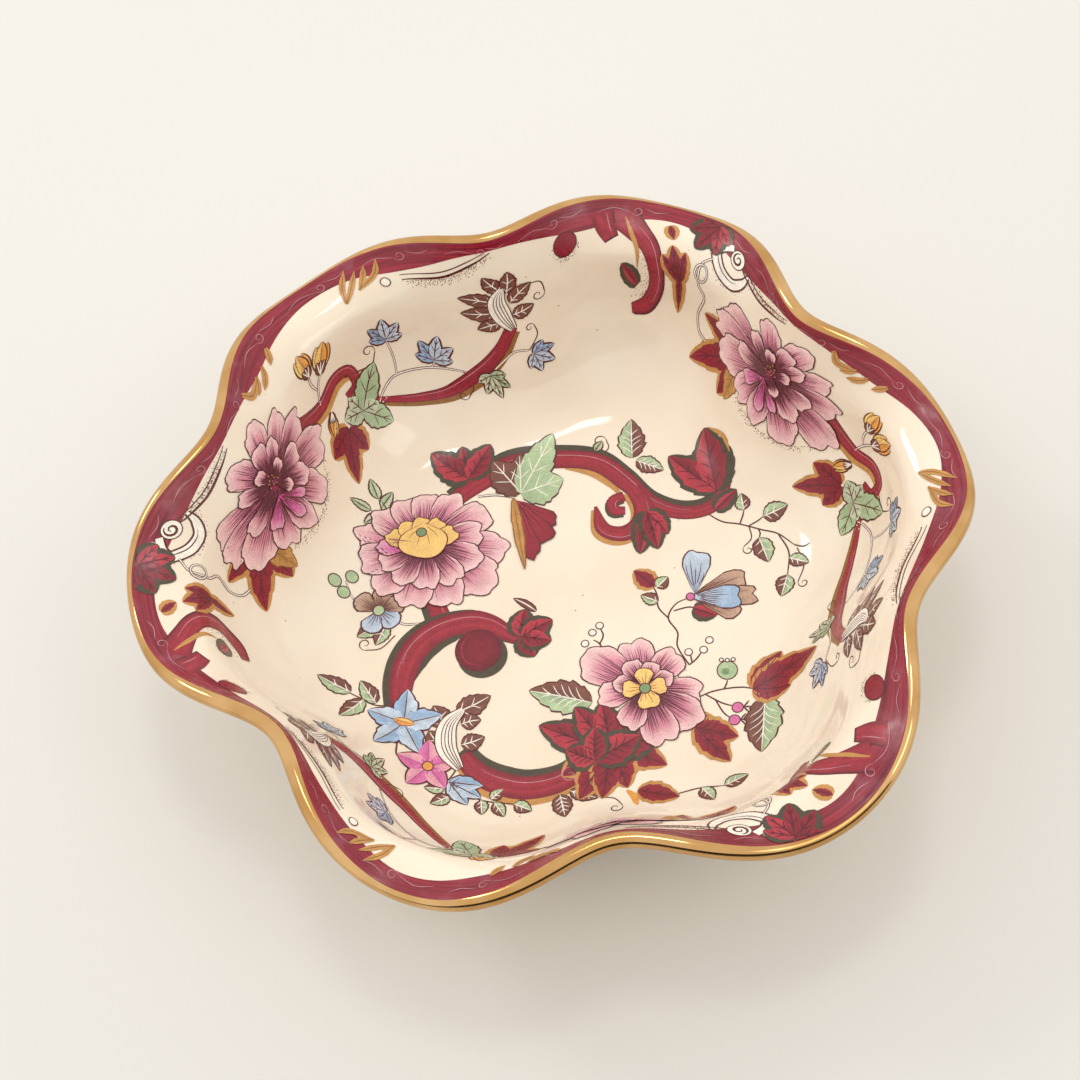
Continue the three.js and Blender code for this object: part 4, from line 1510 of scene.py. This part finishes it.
@dataclass
class WallSpray(Spray):
    """A spray on the wall: a leaning peony, vines with three-lobed leaves, and an acanthus."""

    def draw(self) -> None:
        """Draws it from the back to the front."""
        self.stems()
        self.leaves()
        self.peony()

    def stems(self) -> None:
        """The wine stem, the scroll, the vines and the tendrils."""
        d = self.drawing
        d.scroll(
            [(-30, 79), (-24, 73.4), (-16, 70.4), (-8, 72.6), (-2.6, 71.4), (-2.8, 66.4), (-7.4, 65.6)],
            (5, 5.4, 4.6, 4, 4, 3.4, 1.6), 0, (0.4, -1.6), Ink.GOLD
        )
        tail = [(-1, 60), (4.4, 56.4), (13.2, 52.8), (23.3, 52.4), (35.3, 58.8), (44.2, 66.7), (49.6, 74.6)]
        d.scroll(tail, (1.2, 2.6, 3.6, 4.6, 4.8, 4.6, 4.2), 0, (0.6, -1.7), Ink.GOLD_DARK)
        self.vine([(-10.6, 79.2), (-14, 75.4), (-16.4, 70.6)], 0)
        self.vine([(-14.6, 83), (-15.4, 79), (-14.6, 75.6)], 0)
        self.vine([(22.4, 64), (22, 62.4), (20.6, 61.2)], 0, 0.7)
        self.vine([(-12.6, 57.8), (-9.6, 58.6), (-2, 56.5), (4, 57.6)], 0)
        self.vine([(0.6, 57.4), (4, 60), (9.2, 62.3), (17.3, 61.8), (23.3, 60.7), (31, 58.6)], 0)
        self.vine([(38.5, 57.7), (45, 62.8), (49, 65), (54.2, 64.1)], 0)
        self.vine([(10, 62.4), (11.4, 68), (11.4, 75)], 0, 0.7)
        self.tendril([(54.2, 64.1), (57.6, 68.4), (57, 72.4)], 1, 1.0, 1.6)
        self.tendril([(-4.8, 70.3), (4, 68.7), (7, 72)], 1, 1.0)
        self.tendril([(55.4, 89), (60.6, 88.3), (61.8, 83.5)], 1, -1.0)
        self.tendril([(-40.2, 68.7), (-35.6, 66), (-34.8, 62)], 1, -1.0, 1.8)
        self.tendril([(30, 59), (31.6, 53.4), (28.6, 49)], 1, -1.0, 1.8)

    def leaves(self) -> None:
        """The leaves, the buds and the acanthus."""
        d = self.drawing
        d.lobed_leaf(
            (-65, 69.6), 212, 23, Leaf.WINE_GILT, 3, ((-46, 0.76, 0.34), (40, 0.72, 0.36), (0, 1, 0.38))
        )
        d.leaf((-66, 68.6), (-66.4, 54.6), 8, Leaf.GILT, 6, 0.12)
        d.lobed_leaf(
            (-13, 58.2), 226, 17, Leaf.WINE_GILT, 3, ((-44, 0.7, 0.42), (48, 0.56, 0.42), (0, 1, 0.42))
        )
        two_parted = ((118, 0.5, 0.5), (-96, 0.72, 0.6), (62, 0.44, 0.4), (0, 1, 0.56), (-50, 0.4, 0.4))
        d.lobed_leaf((-5.4, 58.6), 44, 15, Leaf.GREEN, 5, two_parted)
        d.lobed_leaf((38.6, 57.4), -76, 9, Leaf.GREEN, 5)
        d.lobed_leaf((11.4, 74.6), 84, 8.6, Leaf.BLUE, 5)
        d.lobed_leaf((22.4, 63.6), 68, 9.4, Leaf.BLUE, 5)
        d.lobed_leaf((55.4, 62.2), -34, 8.6, Leaf.BLUE, 5)
        d.bud((-10.8, 79), 60, 10.6, 5)
        d.bud((-14.6, 82.6), 88, 9.8, 5)
        d.bud((-15, 65.6), 232, 6.4, 5)
        self.acanthus(
            [(50, 73.6), (47.4, 79), (46.4, 85), (48.6, 90.6)],
            (
                ((46, 85), (35, 88.6), 6.4), ((46, 81), (34.6, 82), 6.6), ((46.6, 77), (38.4, 75), 5.2),
                ((48.6, 89), (43.6, 97), 5.8), ((50, 88), (51.4, 97.4), 5.8), ((50.4, 84), (58, 89.6), 6),
                ((50.6, 79), (58, 80.4), 5.6),
            ),
            4,
        )

    def peony(self) -> None:
        """The peony: loose outer petals, folded magenta ones, and a dark heart."""
        heart = (-49.8, 81.2)
        outer = [
            (173, 25, 17), (191, 28.5, 15), (111, 19.5, 21), (64, 22, 19), (24, 21.6, 18), (212, 28.5, 17)
        ]
        level = self.rosette(heart, outer, Petal.BLUSH, 6, 4)
        lower = [(-4, 25, 16), (-30, 31.5, 14), (-121, 23.6, 16), (-58, 26.5, 16), (-93, 22.4, 17)]
        level = self.rosette(heart, lower, Petal.PINK, level - 2, 4)
        folds = [(200, 18, 14), (150, 14, 17), (-16, 17, 16), (-44, 18.4, 15), (72, 14.6, 20), (38, 14, 18)]
        level = self.rosette(heart, folds, Petal.PINK, level - 1, 3)
        level = self.rosette(
            (-52, 77), [(222, 11.5, 17), (-82, 13, 14), (-48, 12.4, 10)], Petal.MAGENTA, level, 2
        )
        level = self.rosette(
            heart, [(110, 8.4, 24), (-60, 8.6, 20), (20, 8, 22)], Petal.BLUSH, level - 1, 3
        )
        for turn in range(0, 360, 40):
            x, y = np.array(heart) + heading_vector(turn + 7) * (1.2 + (turn % 3) * 0.6)
            self.drawing.dot((float(x), float(y) + 1.2), 0.62, Ink.GOLD, level, Ink.MAROON)
        self.drawing.zone(
            [(-77, 80), (-72, 67), (-61, 62), (-47, 60), (-34, 61), (-25, 68)], -4.2, 0.7, 1.5
        )


@dataclass
class BorderMotifs(Spray):
    """What is drawn on and below the wine border, a third of the way round the rim."""

    heading: float = 120.0
    reach: float = 112.0
    climb: float = 85.0

    def at(self, degrees: float, share: float) -> Point:
        """A place on the rim in the drawing's millimetres."""
        return (math.radians(self.heading - degrees) * self.reach, share * self.climb)

    def path(self, *places: Point) -> list[Point]:
        """Several places on the rim."""
        return [self.at(*place) for place in places]

    def draw(self) -> None:
        """Draws it from the back to the front."""
        self.scratches()
        self.strip((106.2, 0.858), (99.8, 0.854), (94, 0.902), (90.4, 0.945))
        self.strip((151.6, 0.925), (155, 0.898), (160, 0.87), (164.4, 0.884), (166.6, 0.915))
        self.flames()
        self.shell_scroll()
        self.hooks()

    def scratches(self) -> None:
        """Pale scrolls scratched through the wine ground."""
        for degrees in np.arange(66, 180, 13.0):
            x, y = self.at(float(degrees), 0.958)
            self.drawing.curl((x, y), 1.9, 1.2, 200, 14, 0.22, Ink.SCRATCH)
            self.drawing.stroke(
                [(x - 2, y - 0.6), (x - 7, y + 0.8), (x - 12, y - 0.4)], 0.22, Ink.SCRATCH, 14
            )
            self.drawing.stroke(
                [(x + 2, y + 1.2), (x + 6, y + 0.2), (x + 9, y + 1.4)], 0.22, Ink.SCRATCH, 14
            )

    def strip(self, *places: Point) -> None:
        """A white strip below the wine ground, ink-lined and dotted on its lower side."""
        low = self.path(*places)
        high = [(x, y + 1.7) for x, y in low]
        self.drawing.stroke(high, 0.4, Ink.LINE, 3, (0.6, 0.6))
        self.drawing.stroke(low, 0.75, Ink.LINE, 3, (0.4, 0.5))
        self.drawing.zone(low, -3.4, 1.0, 0.4)

    def flames(self) -> None:
        """Gold flames and drops over the wine ground, and the bead beside them."""
        d = self.drawing
        flames = (
            ((116.2, 0.835), (115.4, 0.9), (113.5, 0.972)), ((116.2, 0.835), (114, 0.89), (112.2, 0.95)),
            ((113, 0.866), (111.6, 0.91), (110.6, 0.956)), ((113.2, 0.866), (109.8, 0.905), (108.4, 0.97)),
            ((131.6, 0.915), (132.2, 0.89), (133.2, 0.865)),
            ((134.6, 0.895), (135.6, 0.868), (137.6, 0.852)),
            ((136.8, 0.9), (137.6, 0.885), (139.2, 0.868)), ((141.6, 0.94), (140, 0.892), (136.4, 0.896)),
        )
        for order, places in enumerate(flames):
            width = 1.9 if order < 4 else 2.4
            d.stroke(self.path(*places), width, Ink.GOLD, 15 + 0.5 * (order % 3), (0.5, 0.08))
            d.stroke(self.path(*places), 0.3, Ink.GOLD_DARK, 17 + 0.5 * (order % 3), (0.9, 0.1))
        d.dot(self.at(108.8, 0.862), 1.7, Ink.WHITE, 14)
        d.lobed_leaf(self.at(172.6, 0.985), 246, 12, Leaf.WINE, 15)

    def shell_scroll(self) -> None:
        """The white scroll at the end of the strip, the knotted tendril and the bud on it."""
        d = self.drawing
        back = self.path(
            (168.6, 0.94), (170.6, 0.915), (171.2, 0.88), (169.4, 0.828), (166.6, 0.816), (164.6, 0.85),
            (163.8, 0.892)
        )
        d.zone([(x, y) for x, y in back], -3.6, 1.0, -0.6)
        widths = np.array([2, 2.6, 3.2, 3.4, 3, 2.4, 0.8]) / 2
        line = smooth(back, 0.8)
        half = np.interp(np.linspace(0, 1, len(line)), np.linspace(0, 1, 7), widths)
        d.ribbon(line, half + 0.6, half + 0.6, lambda a, b: Ink.LINE.colour, 2)
        d.ribbon(line, half, half, lambda a, b: Ink.WHITE.colour, 3)
        d.dot(self.at(167, 0.912), 3.2, Ink.WHITE, 5)
        d.curl(self.at(167, 0.912), 2.2, 1.3, 90, 8, 0.8)
        d.stroke(line[6:-8] + left_of(line)[6:-8] * 0.5, 0.4, Ink.LINE, 5, (0.1, 0.1))
        stem = self.path(
            (171.4, 0.855), (173.2, 0.806), (173, 0.726), (171.5, 0.688), (172.5, 0.626), (171.8, 0.582),
            (170, 0.564)
        )
        d.double_stroke(stem, 0.95, 5)
        x, y = self.at(172.8, 0.775)
        ring = [(x + 2.4 * math.cos(t), y + 2.9 * math.sin(t)) for t in np.linspace(0, 2 * math.pi, 9)]
        d.double_stroke(ring, 0.95, 7)
        d.lobed_leaf(
            self.at(176.6, 0.7), 112, 12.5, Leaf.WINE_GILT, 4,
            ((-24, 0.85, 0.36), (22, 0.85, 0.36), (0, 1, 0.42))
        )
        d.leaf(self.at(176.8, 0.74), self.at(176.6, 0.6), 3.2, Leaf.WINE_GILT, 4)

    def hooks(self) -> None:
        """The wine hook that curls down from the border, and the lumps beside it."""
        d = self.drawing
        hook = self.path(
            (188, 0.93), (185.4, 0.87), (183, 0.815), (181.6, 0.745), (181.2, 0.665), (182.8, 0.607),
            (185.6, 0.59)
        )
        d.scroll(hook, (9, 7.4, 6, 5.2, 5, 4.6, 2.4), 2, (0.7, -0.3), Ink.WINE_DARK)
        d.zone(hook[2:], -5.6, 0.9, -2.2)
        d.leaf(self.at(184.6, 0.66), self.at(187.4, 0.742), 3.6, Leaf.WINE, 6, 0.2, 0)
        d.stroke(
            self.path((187.6, 0.93), (186.2, 0.86), (184.8, 0.79), (184.6, 0.72)), 1.4, Ink.GOLD, 7,
            (0.2, 0.2)
        )
        d.scroll(
            self.path((191.4, 0.95), (190.6, 0.89), (189.6, 0.845)), (6.4, 6, 4.6), 1, (0.5, -0.5),
            Ink.WINE_DARK
        )
        self.ball(self.at(197.2, 0.862), 3.6)
        d.leaf(self.at(180.4, 0.92), self.at(179, 0.86), 3, Leaf.WINE_GILT, 3, 0, 0)

    def ball(self, centre: Point, radius: float) -> None:
        """A round lump at the edge of the wine ground."""
        around = np.linspace(0, 2 * math.pi, 25)
        circle = np.stack([np.cos(around), np.sin(around)], -1)
        for size, ink, level in ((radius + 0.4, Ink.LINE, 3), (radius, Ink.WINE, 4)):
            points = np.array(centre) + circle[:, None, :] * np.linspace(0, size, 4)[None, :, None]
            self.drawing.sheet(points, ink.colour, level)
        x, y = centre
        rows = [(x - radius - 0.6, y), (x, y - radius - 0.6), (x + radius + 0.6, y)]
        self.drawing.zone(rows, -2.6, 0.9, 0.0)


# ---- the bowl's pieces ---------------------------------------------------------------


@dataclass
class Finishes:
    """The materials, made once."""

    glaze: bpy.types.Material
    biscuit: bpy.types.Material
    gold: bpy.types.Material
    wine: bpy.types.Material
    enamel: bpy.types.Material
    dots: bpy.types.Material

    @classmethod
    def make(cls) -> "Finishes":
        """Builds every material."""
        return cls(
            GlazedCream().make(), BareBiscuit().make(), BrightGold().make(), WineGround().make(),
            PrintedEnamel().make(), InkDots().make(),
        )


class SubAssembly(Protocol):
    """A part of the bowl that makes its pieces."""

    def build(self) -> list[bpy.types.Object]:
        """Makes the pieces, ties them to the bowl's body and hides the CAD nodes they replace."""


def attach(piece: bpy.types.Object, slot: str, *nodes: str) -> bpy.types.Object:
    """Ties a finished piece to the bowl's body and hides the CAD nodes it replaces; its material slot is not
    used.
    """
    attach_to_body(piece, "root")
    if nodes:
        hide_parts(*nodes)
    return piece


@dataclass
class Clay:
    """The glazed body and the bare foot ring under it."""

    shell: LobedShell
    finishes: Finishes

    def build(self) -> list[bpy.types.Object]:
        """Makes the two pieces."""
        body = self.shell.band(
            "glazed_body", self.finishes.glaze, columns=337, rows=257, start=0.0, end=1.0
        )
        return [attach(body, "glazed_cream", "bowl_body"), attach(self.foot(), "bare_foot", "foot_ring")]

    def foot(self) -> bpy.types.Object:
        """The turned foot ring, as the CAD node measures it, with rounded edges."""
        low, high = (np.array(corner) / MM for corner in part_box("foot_ring"))
        outer = (high[0] - low[0]) / 2
        inner = outer - 7.5
        top = high[2]
        profile = [
            (inner, top), (inner, 0.9), (inner + 0.3, 0.3), (inner + 1, 0), (outer - 1, 0),
            (outer - 0.3, 0.3)
        ]
        profile += [(outer, 0.9), (outer, top), (inner, top)]
        angles = np.linspace(0, 2 * math.pi, 145)[:-1]
        rows = np.array(profile[:-1])
        ring = [
            np.stack([r * np.cos(angles), r * np.sin(angles), np.full_like(angles, z)], -1) for r, z in rows
        ]
        index = np.arange(len(rows) * 144).reshape(len(rows), 144)
        after = np.roll(index, -1, axis=0)
        faces = np.stack([index, np.roll(index, -1, axis=1), np.roll(after, -1, axis=1), after], -1)
        return mesh_object("wiped_foot", np.vstack(ring), faces.reshape(-1, 4), self.finishes.biscuit)


@dataclass
class Rim:
    """The gilded lip and the wine ground inside it, each painted by hand to its own edge."""

    shell: LobedShell
    finishes: Finishes

    def build(self) -> list[bpy.types.Object]:
        """Makes the two pieces."""
        border = self.shell.band(
            "wine_border", self.finishes.wine, columns=673, rows=17, start=0.4402, end=0.4720,
            wobble=0.0007, dip=0.024, lift=0.00004
        )
        gilt = self.shell.band(
            "gilded_lip", self.finishes.gold, columns=673, rows=25, start=0.4662, end=0.5515, wobble=0.0006,
            lift=0.00009
        )
        return [attach(border, "wine_enamel", "enamel_border"), attach(gilt, "bright_gold", "gilt_rim")]


@dataclass
class Sprays:
    """All the printed and painted ornament."""

    shape: BowlShape
    finishes: Finishes

    def build(self) -> list[bpy.types.Object]:
        """Makes the sprays, the motifs below the border, and their dots."""
        dots = Stipple()
        centre = CentreSpray(Drawing(seed=11))
        centre.draw()
        floor = FloorChart(self.shape, -12.0)
        made = self.lay(centre, "floor_print", floor, dots, "centre_spray")
        wall = WallSpray(Drawing(seed=23))
        wall.draw()
        border = BorderMotifs(Drawing(seed=37, coat=0.01))
        border.draw()
        for number in (1, 2, 3):
            heading = 120.0 * (2 - number)
            chart = WallChart(self.shape, heading, 92.0, 115.0)
            made += self.lay(wall, f"wall_print_{number}", chart, dots, f"wall_spray_{number}")
            edge = WallChart(self.shape, heading, border.reach, border.climb)
            made += self.lay(border, f"border_motifs_{number}", edge, dots)
        return made

    def lay(
        self, spray: Spray, name: str, chart: Chart, dots: Stipple, *nodes: str
    ) -> list[bpy.types.Object]:
        """Lays one spray and its dots on the glaze."""
        print_piece = spray.drawing.make_mesh(name, chart, self.finishes.enamel)
        zones = spray.drawing.make_zones(name + "_dots", chart, self.finishes.dots)
        shaded = dots.shade(zones, spray.drawing.seed, self.finishes.dots)
        return [attach(print_piece, "printed_ink", *nodes), attach(shaded, "printed_ink")]


# ---- studio --------------------------------------------------------------------------


@dataclass(frozen=True)
class SoftBox:
    """A square area light that faces a point on the table."""

    name: str
    place: tuple[float, float, float]  # metres
    size: float
    watts: float
    tint: str = "#FFFFFF"

    def make(self) -> bpy.types.Object:
        """Makes the light."""
        light = bpy.data.lights.new(self.name, "AREA")
        light.size = self.size
        light.energy = self.watts
        light.color = linear(self.tint).tolist()
        box = bpy.data.objects.new(self.name, light)
        bpy.context.scene.collection.objects.link(box)
        aim = Vector((0, 0, 0.03)) - Vector(self.place)
        box.matrix_world = Matrix.Translation(self.place) @ aim.to_track_quat("-Z", "Y").to_matrix().to_4x4()
        return box


@dataclass
class Studio:
    """A pale table, soft light from the left, and the camera above the front of the bowl."""

    elevation: float = 58.0
    distance: float = 0.676
    roll: float = 12.0

    def build(self) -> None:
        """Makes the table, the lights and the camera."""
        self.table()
        self.flag()
        self.world()
        for light in (
            SoftBox("window", (-0.9, 0.75, 1.1), 0.31, 2.6, "#FFFDFA"),
            SoftBox("fill", (0.9, -0.6, 1.3), 0.5, 1.4, "#FFFAF2"),
            SoftBox("top", (0.1, 0.25, 1.5), 0.25, 1.8),
        ):
            light.make()
        self.camera()

    def table(self) -> None:
        """The pale table top."""
        reach = 6000.0
        corners = np.array([(-reach, -reach, 0), (reach, -reach, 0), (reach, reach, 0), (-reach, reach, 0)])
        material = bpy.data.materials.new("Pale matt table")
        material.use_nodes = True
        surface = material.node_tree.nodes["Principled BSDF"]
        surface.inputs["Base Color"].default_value = rgba("#E3E0DB")
        surface.inputs["Roughness"].default_value = 0.9
        mesh_object("table", corners, np.array([[0, 1, 2, 3]]), material)

    def flag(self) -> None:
        """A dark card behind the camera, so that the gold and the glaze have something dark to mirror."""
        corners = np.array([(-1100, -900, 90), (1100, -900, 90), (1100, -1100, 720), (-1100, -1100, 720)])
        material = bpy.data.materials.new("Dark card")
        material.use_nodes = True
        surface = material.node_tree.nodes["Principled BSDF"]
        surface.inputs["Base Color"].default_value = rgba("#2A2622")
        surface.inputs["Roughness"].default_value = 0.9
        card = mesh_object("dark_card", corners, np.array([[0, 1, 2, 3]]), material)
        card.visible_camera = False

    def world(self) -> None:
        """An even, slightly warm light from all round."""
        world = bpy.data.worlds.new("Studio")
        world.use_nodes = True
        background = world.node_tree.nodes["Background"]
        background.inputs["Color"].default_value = rgba("#FFFDF9")
        background.inputs["Strength"].default_value = 1.06
        bpy.context.scene.world = world

    def camera(self) -> None:
        """The camera, tilted a little to the side."""
        lens = bpy.data.cameras.new("camera")
        lens.lens = 77
        lens.sensor_width = 36
        lens.shift_x = -0.0074
        lens.shift_y = -0.0204
        eye = bpy.data.objects.new("camera", lens)
        bpy.context.scene.collection.objects.link(eye)
        lift = math.radians(self.elevation)
        back = Vector((0, -math.cos(lift), math.sin(lift)))
        right = Vector((1, 0, 0))
        up = back.cross(right)
        roll = math.radians(self.roll)
        across = right * math.cos(roll) - up * math.sin(roll)
        upward = right * math.sin(roll) + up * math.cos(roll)
        place = Vector((0, 0, 0.0636)) + back * self.distance
        turn = Matrix((across, upward, back)).transposed().to_4x4()
        eye.matrix_world = Matrix.Translation(place) @ turn
        bpy.context.scene.camera = eye


def main() -> None:
    """Builds the bowl piece by piece, then the studio."""
    logging.basicConfig(level=logging.INFO, format="%(message)s")
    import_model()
    shape = BowlShape()
    finishes = Finishes.make()
    shell = LobedShell(shape)
    parts: list[SubAssembly] = [Clay(shell, finishes), Rim(shell, finishes), Sprays(shape, finishes)]
    for part in parts:
        for piece in part.build():
            LOG.info("%s: %d faces", piece.name, len(piece.data.polygons))
    Studio().build()
    scene = bpy.context.scene
    scene.view_settings.view_transform = "Standard"


if __name__ == "__main__":
    main()
